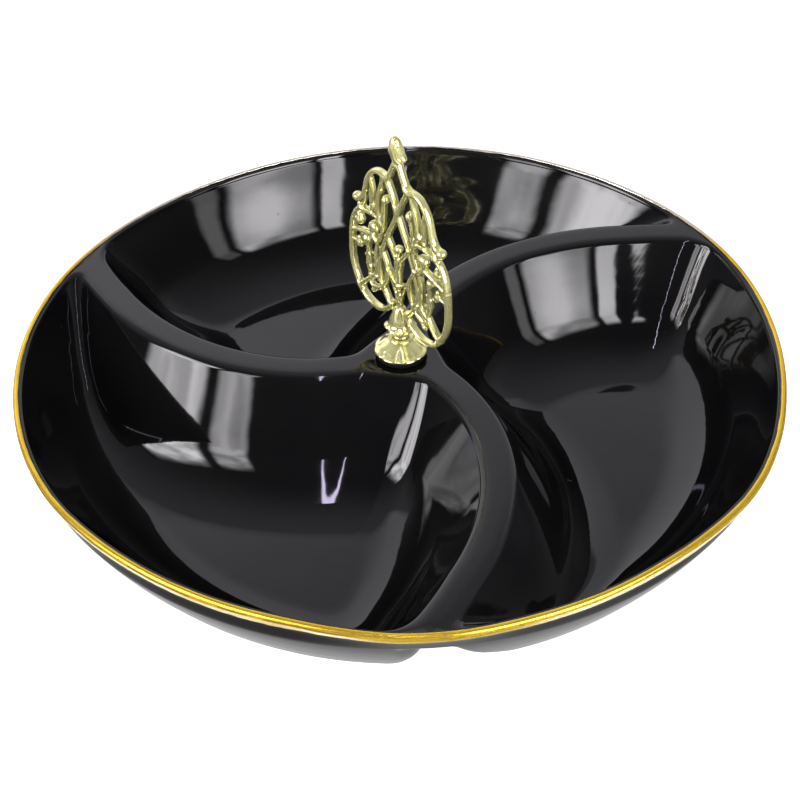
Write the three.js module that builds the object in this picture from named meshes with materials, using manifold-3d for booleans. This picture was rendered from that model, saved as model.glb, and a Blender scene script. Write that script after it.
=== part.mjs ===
// Round serving dish in three compartments with an openwork centre handle.
// Millimetres, +Z up. The origin is the dish axis on the plane the dish stands on.
import * as THREE from "three";
import { mergeVertices } from "three/addons/utils/BufferGeometryUtils.js";
import Module from "manifold-3d";

const wasm = await Module();
wasm.setup();

// ---- driving dimensions -------------------------------------------------
const LAND_Z = 39.5; // height of the flat ridge tops and the hub
const RIM_IN = 124.2; // inner edge of the lip, where a compartment wall starts
const HUB_R = 10; // flat round hub that carries the handle
const RIDGE_W = 6.7; // width of the flat ridge top
const RIDGE_START = -35.5; // degrees, direction of the first ridge at the hub
const RIDGE_TURN = -0.43; // degrees of swing per millimetre of radius
const RIDGE_EASE = [105, 0.06]; // radius where the swing eases off, and by how much
const CORNER_BLEND = 7; // softening where ridge, lip and hub meet
const LOBE_BLEND = 3; // the same on the underside, where the lobes meet the lip
const DEPTH = 35; // depth of a compartment below the ridge tops
const WALL_DEG = 58; // slope of the compartment walls
const SHOULDER_R = 3; // rounding at the top of a wall
const LIP_SHARE = 0.34; // share of that rounding's run kept along the lip, whose edge is sharper
const FLOOR_R = 28; // rounding at the foot of a wall
const WALL_T = 4.5; // ceramic thickness
const GROOVE_Z = 32; // height of the hollow under the ridges
const HOLLOW_FILL = 5; // how much thicker the lobes are on each side of that hollow
const SKIRT_R = 123.8; // outer wall radius at the hollow's height
const BULGE = [25.5, 120.3]; // height and radius of the outer wall's fullest curve
const HOLE_R = 3.2; // hole through the hub
const RIM_SEG = 80; // facets round the rim
const LOOP_PTS = 50; // points round a compartment

const GILD_GAP = 0.06; // gilding off the glaze
const GILD_T = 0.35; // gilding thickness

const HANDLE_DEG = -52; // plane of the openwork panel about the dish axis
const GASKET_Z = [39.6, 41.2];
const GASKET_R = 8.5;
const ROSETTE_Z = 41.4; // underside of the rosette
const ROSETTE_R = 9.0;
const BORE_R = 2.15; // clearance round the screw
const SCREW_R = 1.95;
const SCREW_TOP = 54.7;
const HEAD_Z = 25.7; // underside of the screw head
const PANEL_T = 1.35; // half thickness of the openwork panel
const STRAND = 1.0; // half width of a strand
const PANEL_LIFT = 40.5; // rim height, which the panel coordinates are measured from
const TANG = [1.05, 1.3]; // half sizes of the panel's tang, across the panel and along it
const TANG_Z = [56.1, 62.5];
const PEG_Z = 116.5; // top of the peg that the finial sits on
const FINIAL_Z = 113.1; // seat of the finial

const rad = (d) => (d * Math.PI) / 180;

// ---- helpers ------------------------------------------------------------
function toSolid(geometry) {
  const g = geometry.index ? geometry.toNonIndexed() : geometry.clone();
  g.deleteAttribute("normal");
  g.deleteAttribute("uv");
  const m = mergeVertices(g, 1e-4);
  return new wasm.Manifold(
    new wasm.Mesh({
      numProp: 3,
      vertProperties: new Float32Array(m.attributes.position.array),
      triVerts: new Uint32Array(m.index.array),
    }),
  );
}

function toGeometry(solid) {
  const m = solid.getMesh();
  const g = new THREE.BufferGeometry();
  const pos = new Float32Array((m.vertProperties.length / m.numProp) * 3);
  for (let i = 0; i < pos.length / 3; i++)
    for (let k = 0; k < 3; k++)
      pos[3 * i + k] = m.vertProperties[i * m.numProp + k];
  g.setAttribute("position", new THREE.BufferAttribute(pos, 3));
  g.setIndex(new THREE.BufferAttribute(new Uint32Array(m.triVerts), 1));
  return g;
}

// Body of revolution about Z from [radius, height] pairs, outer side upwards.
function revolve(profile, segments, closed) {
  const pts = profile.map(([r, z]) => new THREE.Vector2(r, z));
  if (closed) pts.push(pts[0].clone());
  const g = new THREE.LatheGeometry(pts, segments);
  g.rotateX(Math.PI / 2);
  return g;
}

// ---- plan of the dish ---------------------------------------------------
const ridgeAngle = (r) =>
  rad(
    RIDGE_START +
      RIDGE_TURN * r +
      RIDGE_EASE[1] * Math.max(0, r - RIDGE_EASE[0]),
  );
const ridgeLine = [];
for (let r = 0; r <= 136; r += 2) {
  const t = ridgeAngle(r);
  ridgeLine.push([r * Math.cos(t), r * Math.sin(t)]);
}

function ridgeDistance(x, y) {
  let best = 1e9;
  for (let k = 0; k < 3; k++) {
    const c = Math.cos(rad(-120 * k)),
      s = Math.sin(rad(-120 * k));
    const px = c * x - s * y,
      py = s * x + c * y;
    for (let i = 0; i + 1 < ridgeLine.length; i++) {
      const [ax, ay] = ridgeLine[i],
        [bx, by] = ridgeLine[i + 1];
      const ex = bx - ax,
        ey = by - ay;
      const u = Math.min(
        1,
        Math.max(0, ((px - ax) * ex + (py - ay) * ey) / (ex * ex + ey * ey)),
      );
      best = Math.min(best, Math.hypot(px - ax - u * ex, py - ay - u * ey));
    }
  }
  return best;
}

function softMin(a, b, k) {
  const h = Math.max(k - Math.abs(a - b), 0) / k;
  return Math.min(a, b) - (h * h * k) / 4;
}

// Distance in plan from a compartment outline that keeps clear of the ridge
// centrelines by side, of the dish axis by hub and stays within the radius rim.
function inset(x, y, [side, hub, rim, blend = CORNER_BLEND]) {
  const r = Math.hypot(x, y);
  return softMin(
    softMin(ridgeDistance(x, y) - side, r - hub, CORNER_BLEND),
    rim - r,
    blend,
  );
}
// Outline at a distance d in from the edge of the compartment.
const shoulderRun = SHOULDER_R * Math.sin(rad(WALL_DEG));
const lipInset = (d) =>
  d < shoulderRun ? LIP_SHARE * d : d - (1 - LIP_SHARE) * shoulderRun;
const within = (d) => [RIDGE_W / 2 + d, HUB_R + d, RIM_IN - lipInset(d)];

// Plan position of a point given in the plane where the ridges are straight.
function swing(x, y) {
  const r = Math.hypot(x, y);
  const t = Math.atan2(y, x) + ridgeAngle(r);
  return [r * Math.cos(t), r * Math.sin(t)];
}

// Deepest point of the first compartment, in that plane.
let seat = [0, 0, -1];
for (let r = 50; r <= 95; r += 1)
  for (let a = 30; a <= 90; a += 1) {
    const x = r * Math.cos(rad(a)),
      y = r * Math.sin(rad(a));
    const f = inset(...swing(x, y), within(0));
    if (f > seat[2]) seat = [x, y, f];
  }

// Point of an outline in a direction from the deepest point.
function reach(angle, bounds) {
  const at = (s) =>
    swing(seat[0] + s * Math.cos(angle), seat[1] + s * Math.sin(angle));
  let s = 0;
  while (inset(...at(s), bounds) > 0) s += 1;
  let lo = Math.max(0, s - 1),
    hi = s;
  for (let i = 0; i < 30; i++) {
    const m = (lo + hi) / 2;
    if (inset(...at(m), bounds) > 0) lo = m;
    else hi = m;
  }
  return at(lo);
}

// Directions round the compartment, closer together where its outline turns.
const fine = 360;
const outline = [];
for (let i = 0; i < fine; i++) outline.push(reach((i * 2 * Math.PI) / fine, within(0)));
const run = [0];
for (let i = 0; i < fine; i++) {
  const a = outline[(i + fine - 1) % fine],
    b = outline[i],
    c = outline[(i + 1) % fine];
  const l = Math.hypot(c[0] - b[0], c[1] - b[1]);
  let turn =
    Math.atan2(c[1] - b[1], c[0] - b[0]) - Math.atan2(b[1] - a[1], b[0] - a[0]);
  turn = Math.abs(Math.atan2(Math.sin(turn), Math.cos(turn)));
  run.push(run[i] + l + 22 * turn);
}
const spokes = [];
for (let j = 0; j < LOOP_PTS; j++) {
  const want = (run[fine] * j) / LOOP_PTS;
  let i = 0;
  while (run[i + 1] < want) i++;
  const f = (want - run[i]) / (run[i + 1] - run[i]);
  spokes.push(((i + f) * 2 * Math.PI) / fine);
}

// ---- section of a compartment wall: [inset, depth, slope] ---------------
const section = [];
for (const a of [0, 28, WALL_DEG])
  section.push([
    SHOULDER_R * Math.sin(rad(a)),
    SHOULDER_R * (1 - Math.cos(rad(a))),
    a,
  ]);
const wallFootDepth = DEPTH - FLOOR_R * (1 - Math.cos(rad(WALL_DEG)));
const wallFoot =
  section[2][0] + (wallFootDepth - section[2][1]) / Math.tan(rad(WALL_DEG));
const floorEdge = wallFoot + FLOOR_R * Math.sin(rad(WALL_DEG));
section.push([
  (section[2][0] + wallFoot) / 2,
  (section[2][1] + wallFootDepth) / 2,
  WALL_DEG,
]);
for (const a of [WALL_DEG, 38, 19, 0])
  section.push([
    floorEdge - FLOOR_R * Math.sin(rad(a)),
    DEPTH - FLOOR_R * (1 - Math.cos(rad(a))),
    a,
  ]);

// Underside of a lobe: [outline bounds, height], from the hollow's height down.
const lowered = (depth) =>
  section[2][0] -
  WALL_T * Math.sin(rad(WALL_DEG)) +
  (depth - section[2][1] - WALL_T * Math.cos(rad(WALL_DEG))) /
    Math.tan(rad(WALL_DEG));
const ease = (a, b, x) => {
  const t = Math.min(1, Math.max(0, (x - a) / (b - a)));
  return t * t * (3 - 2 * t);
};
// The hollow under a ridge stays narrow between the lobes and opens out at the feet.
const flank = (d) =>
  RIDGE_W / 2 + d - HOLLOW_FILL * ease(0, 10, d) * (1 - ease(14, 34, d));
const lobe = (d) => [flank(d), HUB_R + d, RIM_IN + 0.8 - d, LOBE_BLEND];
const under = [];
for (const [z, rim] of [[GROOVE_Z, SKIRT_R - 0.4], BULGE]) {
  const d = lowered(LAND_Z - z);
  under.push([[flank(d), HUB_R + d, rim, LOBE_BLEND], z]);
}
for (const a of [WALL_DEG, 40, 20, 0])
  under.push([
    lobe(floorEdge - (FLOOR_R + WALL_T) * Math.sin(rad(a))),
    (FLOOR_R + WALL_T) * (1 - Math.cos(rad(a))),
  ]);

// ---- dish body ----------------------------------------------------------
const tri = [];
const face = (a, b, c) => tri.push(...a, ...b, ...c);
function band(lower, upper) {
  // upper ring lies inside the band's right-hand side when seen from outside
  const n = lower.length;
  for (let i = 0; i < n; i++) {
    const j = (i + 1) % n;
    face(lower[i], lower[j], upper[j]);
    face(lower[i], upper[j], upper[i]);
  }
}
const turned = (p, k) => {
  const c = Math.cos(rad(120 * k)),
    s = Math.sin(rad(120 * k));
  return [c * p[0] - s * p[1], s * p[0] + c * p[1], p[2]];
};
const ringAt = (bounds, z) =>
  spokes.map((a) => {
    const p = reach(a, bounds);
    return [p[0], p[1], z];
  });
function cap(ring, up) {
  const flat = ring.map((p) => new THREE.Vector2(p[0], p[1]));
  for (const [a, b, c] of THREE.ShapeUtils.triangulateShape(flat, []))
    up
      ? face(ring[a], ring[b], ring[c])
      : face(ring[a], ring[c], ring[b]);
}
const innerRings = section.map(([d, depth]) =>
  ringAt(within(d), LAND_Z - depth),
);
const underRings = under.map(([bounds, z]) => ringAt(bounds, z));
for (let k = 0; k < 3; k++) {
  const top = innerRings.map((ring) => ring.map((p) => turned(p, k)));
  const low = underRings.map((ring) => ring.map((p) => turned(p, k)));
  for (let i = 0; i + 1 < top.length; i++) band(top[i], top[i + 1]);
  cap(top[top.length - 1], true);
  for (let i = 0; i + 1 < low.length; i++) band(low[i + 1], low[i]);
  cap(low[low.length - 1], false);
}

const circle = (r, z, n) =>
  Array.from({ length: n }, (_, i) => [
    r * Math.cos((2 * Math.PI * i) / n),
    r * Math.sin((2 * Math.PI * i) / n),
    z,
  ]);

// Lip of the dish from the ridge-top plane over the crest to the outer wall.
const lip = [
  [124.6, LAND_Z],
  [124.95, LAND_Z + 0.45],
  [125.6, LAND_Z + 0.6],
  [126.2, LAND_Z + 0.35],
  [126.55, LAND_Z - 0.3],
  [126.6, LAND_Z - 1.3],
  [125.5, LAND_Z - 3.5],
  [SKIRT_R, GROOVE_Z],
];
const lipRings = lip.map(([r, z]) => circle(r, z, RIM_SEG));
for (let i = 0; i + 1 < lipRings.length; i++)
  band(lipRings[i + 1], lipRings[i]);

const holeTop = circle(HOLE_R, LAND_Z, 20);
const holeLow = circle(HOLE_R, GROOVE_Z, 20);
band(holeTop, holeLow);

function land(outer, holes, up) {
  const v2 = (p) => new THREE.Vector2(p[0], p[1]);
  const rings = [outer, ...holes.map((h) => [...h].reverse())];
  const all = rings.flat();
  const faces = THREE.ShapeUtils.triangulateShape(
    rings[0].map(v2),
    rings.slice(1).map((h) => h.map(v2)),
  );
  for (const [a, b, c] of faces)
    up ? face(all[a], all[b], all[c]) : face(all[a], all[c], all[b]);
}
const loops = (ring) => [0, 1, 2].map((k) => ring.map((p) => turned(p, k)));
land(lipRings[0], [...loops(innerRings[0]), holeTop], true);
land(
  lipRings[lipRings.length - 1],
  [...loops(underRings[0]), holeLow],
  false,
);

const dishGeometry = new THREE.BufferGeometry();
dishGeometry.setAttribute(
  "position",
  new THREE.BufferAttribute(new Float32Array(tri), 3),
);

// ---- gilding on the lip -------------------------------------------------
const gilded = lip.slice(1, 6);
const outward = gilded.map((p, i) => {
  const a = gilded[Math.max(0, i - 1)],
    b = gilded[Math.min(gilded.length - 1, i + 1)];
  const l = Math.hypot(b[0] - a[0], b[1] - a[1]);
  return [-(b[1] - a[1]) / l, (b[0] - a[0]) / l];
});
const shift = (d) =>
  gilded.map(([r, z], i) => [r + d * outward[i][0], z + d * outward[i][1]]);
const gildLoop = [
  ...shift(GILD_GAP),
  ...shift(GILD_GAP + GILD_T).reverse(),
];
const gildTri = [];
{
  const rings = gildLoop.map(([r, z]) => circle(r, z, RIM_SEG));
  const n = rings.length;
  for (let i = 0; i < n; i++) {
    const a = rings[i],
      b = rings[(i + 1) % n];
    for (let q = 0; q < RIM_SEG; q++) {
      const w = (q + 1) % RIM_SEG;
      gildTri.push(...a[q], ...a[w], ...b[w], ...a[q], ...b[w], ...b[q]);
    }
  }
}
const gildGeometry = new THREE.BufferGeometry();
gildGeometry.setAttribute(
  "position",
  new THREE.BufferAttribute(new Float32Array(gildTri), 3),
);

// ---- handle base --------------------------------------------------------
const gasketGeometry = revolve(
  [
    [2.6, GASKET_Z[0]],
    [GASKET_R - 0.3, GASKET_Z[0]],
    [GASKET_R, GASKET_Z[0] + 0.4],
    [GASKET_R, GASKET_Z[1] - 0.4],
    [GASKET_R - 0.3, GASKET_Z[1]],
    [2.6, GASKET_Z[1]],
  ],
  24,
  true,
);

// Conical rosette with a scalloped edge and a small collar on top.
const rosetteGeometry = revolve(
  [
    [BORE_R, ROSETTE_Z],
    [ROSETTE_R - 0.5, ROSETTE_Z],
    [ROSETTE_R, ROSETTE_Z + 0.4],
    [ROSETTE_R - 0.35, ROSETTE_Z + 0.95],
    [6.2, ROSETTE_Z + 2.4],
    [3.75, ROSETTE_Z + 4.1],
    [3.3, ROSETTE_Z + 4.7],
    [4.15, ROSETTE_Z + 5.1],
    [4.05, ROSETTE_Z + 5.5],
    [2.9, ROSETTE_Z + 5.6],
    [BORE_R, ROSETTE_Z + 5.6],
  ],
  32,
  true,
);
{
  const p = rosetteGeometry.attributes.position;
  for (let i = 0; i < p.count; i++) {
    const x = p.getX(i),
      y = p.getY(i),
      r = Math.hypot(x, y);
    if (r < 5 || p.getZ(i) > ROSETTE_Z + 3) continue;
    const k = 1 + 0.022 * Math.cos(8 * Math.atan2(y, x)) * ((r - 5) / (ROSETTE_R - 5));
    p.setX(i, x * k);
    p.setY(i, y * k);
  }
}

// Bell with a curled petal lip, tapped for the screw, with a pocket for the panel's tang.
const BELL_Z = ROSETTE_Z + 5.9;
const bellOuter = [
  [2.75, BELL_Z],
  [2.7, BELL_Z + 2.4],
  [3.6, BELL_Z + 3.0],
  [5.1, BELL_Z + 3.7],
  [5.35, BELL_Z + 4.3],
  [4.5, BELL_Z + 4.9],
  [3.95, BELL_Z + 5.7],
  [3.5, BELL_Z + 7.2],
  [2.9, BELL_Z + 9.2],
  [2.2, BELL_Z + 10.8],
  [1.6, BELL_Z + 11.6],
];
const bellRaw = revolve(
  [[0, BELL_Z], ...bellOuter, [0, BELL_Z + 11.9]],
  24,
  false,
);
{
  const p = bellRaw.attributes.position;
  for (let i = 0; i < p.count; i++) {
    const x = p.getX(i),
      y = p.getY(i),
      z = p.getZ(i) - BELL_Z;
    if (z < 2.5 || z > 11) continue;
    const k =
      1 +
      (z < 5 ? 0.07 : 0.035) * Math.cos(6 * (Math.atan2(y, x) - rad(HANDLE_DEG)));
    p.setX(i, x * k);
    p.setY(i, y * k);
  }
}
const turnPanel = rad(HANDLE_DEG);
const screwWay = new THREE.CylinderGeometry(BORE_R, BORE_R, 20, 20);
screwWay.rotateX(Math.PI / 2);
screwWay.translate(0, 0, SCREW_TOP + 0.4 - 10);
const pocket = new THREE.BoxGeometry(
  2 * (TANG[1] + 0.15),
  2 * (TANG[0] + 0.15),
  10,
);
pocket.translate(0, 0, TANG_Z[0] - 0.15 + 5);
pocket.rotateZ(turnPanel);
const bellGeometry = toGeometry(
  toSolid(bellRaw).subtract(toSolid(screwWay)).subtract(toSolid(pocket)),
);

// ---- openwork panel: strands traced as [along, up], one half, then mirrored
const strands = [
  // stem from the finial to the shoulder
  [[0.2, 73.0], [1.5, 71.2], [2.8, 68.5], [4.2, 65.8], [5.8, 64.4]],
  // shoulder arch to its flared tip
  [[4.4, 65.5], [6.5, 65.2], [9.1, 65.2], [11.2, 64.5], [12.8, 63.1], [14.3, 61.0], [15.4, 58.4], [16.2, 55.4], [17.2, 52.8], [18.9, 50.9], [20.8, 50.2]],
  // bar from the shoulder to the crossing
  [[5.4, 64.8], [3.5, 61.4], [2.1, 58.6], [1.0, 56.0], [0.1, 54.4]],
  // lens bar from the crossing to the bell
  [[-0.7, 56.4], [0.6, 52.7], [2.4, 48.8], [4.4, 45.0], [6.2, 41.0], [7.8, 37.0], [9.0, 33.0], [9.7, 29.4], [9.3, 25.6], [7.8, 21.8], [5.8, 18.8], [3.4, 16.0]],
  // bar inside the shoulder
  [[6.8, 65.0], [7.8, 60.8], [9.0, 57.2], [9.8, 53.6], [9.6, 50.4], [8.4, 46.4]],
  // curl from the junction up to its bead
  [[5.9, 56.2], [6.7, 54.4], [7.2, 52.0], [7.4, 49.6], [7.6, 46.0]],
  // leaf hung inside the shoulder
  [[15.0, 60.0], [14.7, 57.6], [14.4, 54.4], [13.9, 51.4], [13.3, 47.8]],
  // middle arch
  [[7.4, 45.4], [9.4, 47.2], [11.6, 47.8], [14.0, 47.6], [16.4, 47.2], [18.8, 47.0]],
  // second lobe
  [[18.0, 47.2], [20.4, 45.6], [22.1, 43.0], [23.2, 40.0], [23.8, 36.6], [24.1, 33.0], [24.2, 29.6], [24.2, 26.4], [23.6, 23.2], [22.5, 20.0], [21.0, 17.2], [19.6, 15.6]],
  [[20.6, 50.4], [19.2, 46.8]],
  // lower loop bar
  [[21.0, 16.6], [18.7, 17.6], [16.8, 19.5], [14.9, 21.6], [13.1, 23.4], [11.1, 24.3], [9.1, 23.9], [7.6, 22.4]],
  // bottom arc
  [[20.6, 16.8], [18.7, 14.1], [16.2, 12.6], [13.0, 11.9], [9.7, 12.2], [7.0, 13.5], [5.0, 15.4], [3.8, 17.6]],
  // scroll of the middle lobe
  [[12.8, 43.4], [13.3, 41.3], [12.2, 39.8], [10.6, 38.2]],
  // branch from it to the outer bar
  [[10.8, 38.7], [13.4, 39.5], [15.3, 39.2], [17.2, 38.7], [19.0, 38.3], [21.2, 37.5], [24.0, 36.4]],
  // bar from the junction down to the loop bar
  [[7.8, 46.6], [7.6, 44.2], [8.2, 41.6], [9.4, 39.4], [10.5, 36.8], [11.0, 34.2], [11.3, 31.4], [11.0, 28.6], [11.2, 26.2], [12.2, 23.6]],
  // leaf of the lower lobe
  [[16.0, 36.6], [15.5, 31.8], [15.4, 28.6], [15.1, 25.4], [13.8, 22.6]],
  // leaf in the bottom loop
  [[7.6, 21.8], [9.5, 20.5], [11.2, 19.8], [13.0, 19.4], [15.6, 20.8]],
  // bars inside the lens
  [[5.9, 43.4], [4.4, 41.4], [3.0, 39.4], [1.6, 37.6], [0, 35.8]],
  [[8.9, 37.2], [7.2, 34.4], [5.8, 31.4], [5.4, 28.6], [6.0, 25.6], [7.8, 22.2]],
  [[5.4, 30.6], [3.4, 27.4], [1.7, 24.0], [0, 20.8]],
];
const beads = [
  [21.0, 50.2, 1.5],
  [5.9, 56.5, 1.5],
  [12.2, 43.2, 1.7],
  [16.1, 36.6, 1.6],
  [19.4, 41.9, 1.5],
  [19.5, 33.2, 1.45],
];
const joins = [
  [[19.4, 41.9], [23.0, 41.0]],
  [[19.5, 33.2], [24.2, 32.4]],
];
const axial = [[0, 40.6], [0, 35.4], [0, 28.6], [0, 22.4], [0, 17]];

// Flat outline given as [along, up], cut from plate of the given half thickness.
function plate(outlinePts, halfT) {
  const g = new THREE.ExtrudeGeometry(
    new THREE.Shape(outlinePts.map(([x, y]) => new THREE.Vector2(x, y))),
    { depth: 2 * halfT, steps: 1, bevelEnabled: false },
  );
  g.translate(0, PANEL_LIFT, -halfT);
  g.rotateX(Math.PI / 2);
  return toSolid(g);
}
// Strand of even width along a curve, with blunt rounded ends.
function strand(path, halfW, halfT) {
  const curve = new THREE.CatmullRomCurve3(
    path.map(([a, u]) => new THREE.Vector3(a, u, 0)),
    false,
    "centripetal",
  );
  const n = Math.max(2, Math.round(curve.getLength() / 3.2));
  const left = [],
    right = [];
  for (let i = 0; i <= n; i++) {
    const c = curve.getPointAt(i / n),
      t = curve.getTangentAt(i / n);
    const w = i === 0 || i === n ? halfW * 0.62 : halfW;
    left.push([c.x - w * t.y, c.y + w * t.x]);
    right.push([c.x + w * t.y, c.y - w * t.x]);
    if (i === 0 || i === n - 1) {
      const s = i === 0 ? 0.5 * halfW : curve.getLength() - 0.5 * halfW;
      const u = s / curve.getLength();
      const e = curve.getPointAt(u),
        f = curve.getTangentAt(u);
      left.push([e.x - halfW * f.y, e.y + halfW * f.x]);
      right.push([e.x + halfW * f.y, e.y - halfW * f.x]);
    }
  }
  return plate([...right, ...left.reverse()], halfT);
}
function bead(a, u, r, halfT = PANEL_T + 0.25) {
  const pts = Array.from({ length: 10 }, (_, i) => [
    a + r * Math.cos((i * Math.PI) / 5),
    u + r * Math.sin((i * Math.PI) / 5),
  ]);
  return plate(pts, halfT);
}
const flip = (path) => path.map(([a, u]) => [-a, u]);
let panel = strand(axial, 1.2, PANEL_T);
const weld = (s) => {
  panel = panel.add(s);
};
for (const path of strands) {
  weld(strand(path, STRAND, PANEL_T));
  weld(strand(flip(path), STRAND, PANEL_T));
}
for (const path of joins) {
  weld(strand(path, 0.9, PANEL_T));
  weld(strand(flip(path), 0.9, PANEL_T));
}
for (const [a, u, r] of beads) {
  weld(bead(a, u, r));
  weld(bead(-a, u, r));
}
// bud in the middle of the lens, boss under the finial, tang in the bell
weld(bead(0, 40.4, 1.7));
weld(bead(0, 35.2, 2.0, PANEL_T + 0.4));
weld(bead(0, 72.0, 1.8));
const tang = new THREE.BoxGeometry(
  2 * TANG[1],
  2 * TANG[0],
  TANG_Z[1] - TANG_Z[0],
);
tang.translate(0, 0, (TANG_Z[0] + TANG_Z[1]) / 2);
weld(toSolid(tang));
const peg = new THREE.CylinderGeometry(0.9, 0.9, PEG_Z - FINIAL_Z + 1, 10);
peg.rotateX(Math.PI / 2);
peg.translate(0, 0, (PEG_Z + FINIAL_Z - 1) / 2);
weld(toSolid(peg));
// clear the strands off the bell and the finial seat
const bellClear = revolve(
  [
    [0, BELL_Z + 1],
    [1.9, BELL_Z + 1],
    [6.2, BELL_Z + 3.4],
    [6.2, BELL_Z + 4.6],
    [4.6, BELL_Z + 5.9],
    [4.05, BELL_Z + 7.3],
    [3.4, BELL_Z + 9.4],
    [2.6, BELL_Z + 11.1],
    [1.9, BELL_Z + 12.05],
    [0, BELL_Z + 12.2],
  ],
  24,
  false,
);
const keepTang = new THREE.BoxGeometry(
  2 * TANG[1] + 0.02,
  2 * TANG[0] + 0.02,
  14,
);
keepTang.translate(0, 0, TANG_Z[0] - 0.01 + 7);
panel = panel.subtract(toSolid(bellClear).subtract(toSolid(keepTang)));
const headroom = new THREE.CylinderGeometry(6, 6, 20, 16);
headroom.rotateX(Math.PI / 2);
headroom.translate(0, 0, FINIAL_Z - 0.3 + 10);
const keepPeg = new THREE.CylinderGeometry(0.95, 0.95, 24, 10);
keepPeg.rotateX(Math.PI / 2);
keepPeg.translate(0, 0, FINIAL_Z + 6);
panel = panel.subtract(toSolid(headroom).subtract(toSolid(keepPeg)));
const panelGeometry = toGeometry(panel);
panelGeometry.rotateZ(turnPanel);

// ---- finial bud: five folded petals round a pointed bud ------------------
const finialRaw = revolve(
  [
    [0, FINIAL_Z],
    [1.7, FINIAL_Z],
    [2.2, FINIAL_Z + 0.9],
    [2.5, FINIAL_Z + 2.6],
    [2.45, FINIAL_Z + 4.2],
    [2.15, FINIAL_Z + 6.0],
    [1.55, FINIAL_Z + 7.8],
    [0.75, FINIAL_Z + 9.1],
    [0, FINIAL_Z + 9.6],
  ],
  20,
  false,
);
{
  const p = finialRaw.attributes.position;
  for (let i = 0; i < p.count; i++) {
    const x = p.getX(i),
      y = p.getY(i),
      z = p.getZ(i) - FINIAL_Z;
    if (z < 0.5 || z > 9) continue;
    const k = 1 + 0.07 * Math.cos(5 * Math.atan2(y, x) + 0.25 * z);
    p.setX(i, x * k);
    p.setY(i, y * k);
  }
}
const pegHole = new THREE.CylinderGeometry(1.1, 1.1, 10, 12);
pegHole.rotateX(Math.PI / 2);
pegHole.translate(0, 0, PEG_Z + 0.3 - 5);
const finialGeometry = toGeometry(
  toSolid(finialRaw).subtract(toSolid(pegHole)),
);

// ---- clamp under the hub ------------------------------------------------
const washerRing = (r0, r1, z0, z1, n) =>
  revolve(
    [
      [r0, z0],
      [r1, z0],
      [r1, z1],
      [r0, z1],
    ],
    n,
    true,
  );
const lowerGasketGeometry = washerRing(2.6, 7, HEAD_Z + 4.5, HEAD_Z + 6.1, 24);
const washerGeometry = washerRing(2.25, 5.5, HEAD_Z + 3.2, HEAD_Z + 4.2, 24);
// Pan-head screw with a cross recess.
const screwRaw = revolve(
  [
    [0, HEAD_Z],
    [2.6, HEAD_Z],
    [3.6, HEAD_Z + 0.6],
    [4.0, HEAD_Z + 1.6],
    [4.0, HEAD_Z + 2.9],
    [SCREW_R, HEAD_Z + 2.9],
    [SCREW_R, SCREW_TOP - 0.6],
    [SCREW_R - 0.5, SCREW_TOP],
    [0, SCREW_TOP],
  ],
  20,
  false,
);
let screwSolid = toSolid(screwRaw);
for (const a of [0, 90]) {
  const blade = new THREE.BoxGeometry(4.2, 0.9, 3);
  blade.rotateZ(rad(a + 10));
  blade.translate(0, 0, HEAD_Z);
  screwSolid = screwSolid.subtract(toSolid(blade));
}
const screwGeometry = toGeometry(screwSolid);

// ---- materials and assembly ---------------------------------------------
const glaze = () =>
  new THREE.MeshStandardMaterial({ color: 0x0b0b0c, roughness: 0.06, metalness: 0 });
const gold = (c, r) =>
  new THREE.MeshStandardMaterial({ color: c, roughness: r, metalness: 1 });
const rubber = () =>
  new THREE.MeshStandardMaterial({ color: 0x121212, roughness: 0.75, metalness: 0 });
const steel = () =>
  new THREE.MeshStandardMaterial({ color: 0xb9bcc0, roughness: 0.35, metalness: 1 });

const dish = new THREE.Group();
dish.name = "divided_serving_dish";
function piece(name, geometry, material) {
  const flat = geometry.index ? geometry : mergeVertices(geometry, 1e-4);
  flat.computeVertexNormals();
  const m = new THREE.Mesh(flat, material);
  m.name = name;
  dish.add(m);
}
piece("dish_body", dishGeometry, glaze());
piece("rim_gilding", gildGeometry, gold(0xd9a92f, 0.22));
piece("seat_gasket", gasketGeometry, rubber());
piece("base_rosette", rosetteGeometry, gold(0xe6dc9a, 0.18));
piece("bell_calyx", bellGeometry, gold(0xe6dc9a, 0.18));
piece("filigree_panel", panelGeometry, gold(0xe6dc9a, 0.18));
piece("finial_bud", finialGeometry, gold(0xe6dc9a, 0.18));
piece("clamp_screw", screwGeometry, steel());
piece("clamp_washer", washerGeometry, steel());
piece("lower_gasket", lowerGasketGeometry, rubber());

export default dish;
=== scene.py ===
# Looks of the divided serving dish: glazed body, gilded lip and a cast openwork handle.
import math

import bpy
import numpy as np
from mathutils import Matrix, Vector
from mathutils.geometry import delaunay_2d_cdt

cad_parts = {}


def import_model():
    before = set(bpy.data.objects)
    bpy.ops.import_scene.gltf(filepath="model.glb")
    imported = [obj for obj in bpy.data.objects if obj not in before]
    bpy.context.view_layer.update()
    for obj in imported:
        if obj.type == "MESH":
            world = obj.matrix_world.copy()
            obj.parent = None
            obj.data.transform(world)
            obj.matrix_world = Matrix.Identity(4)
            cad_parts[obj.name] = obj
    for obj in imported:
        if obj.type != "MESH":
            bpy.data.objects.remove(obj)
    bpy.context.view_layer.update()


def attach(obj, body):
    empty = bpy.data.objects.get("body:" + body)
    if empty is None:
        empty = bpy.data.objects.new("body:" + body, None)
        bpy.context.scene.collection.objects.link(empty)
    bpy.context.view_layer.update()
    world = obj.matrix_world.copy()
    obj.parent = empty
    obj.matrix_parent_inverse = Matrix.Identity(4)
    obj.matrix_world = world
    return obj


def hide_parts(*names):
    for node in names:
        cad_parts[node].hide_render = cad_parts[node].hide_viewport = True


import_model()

# ---- dimensions in millimetres -------------------------------------------
LAND_Z = 39.5
RIM_IN = 124.2
HUB_R = 10.0
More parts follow.
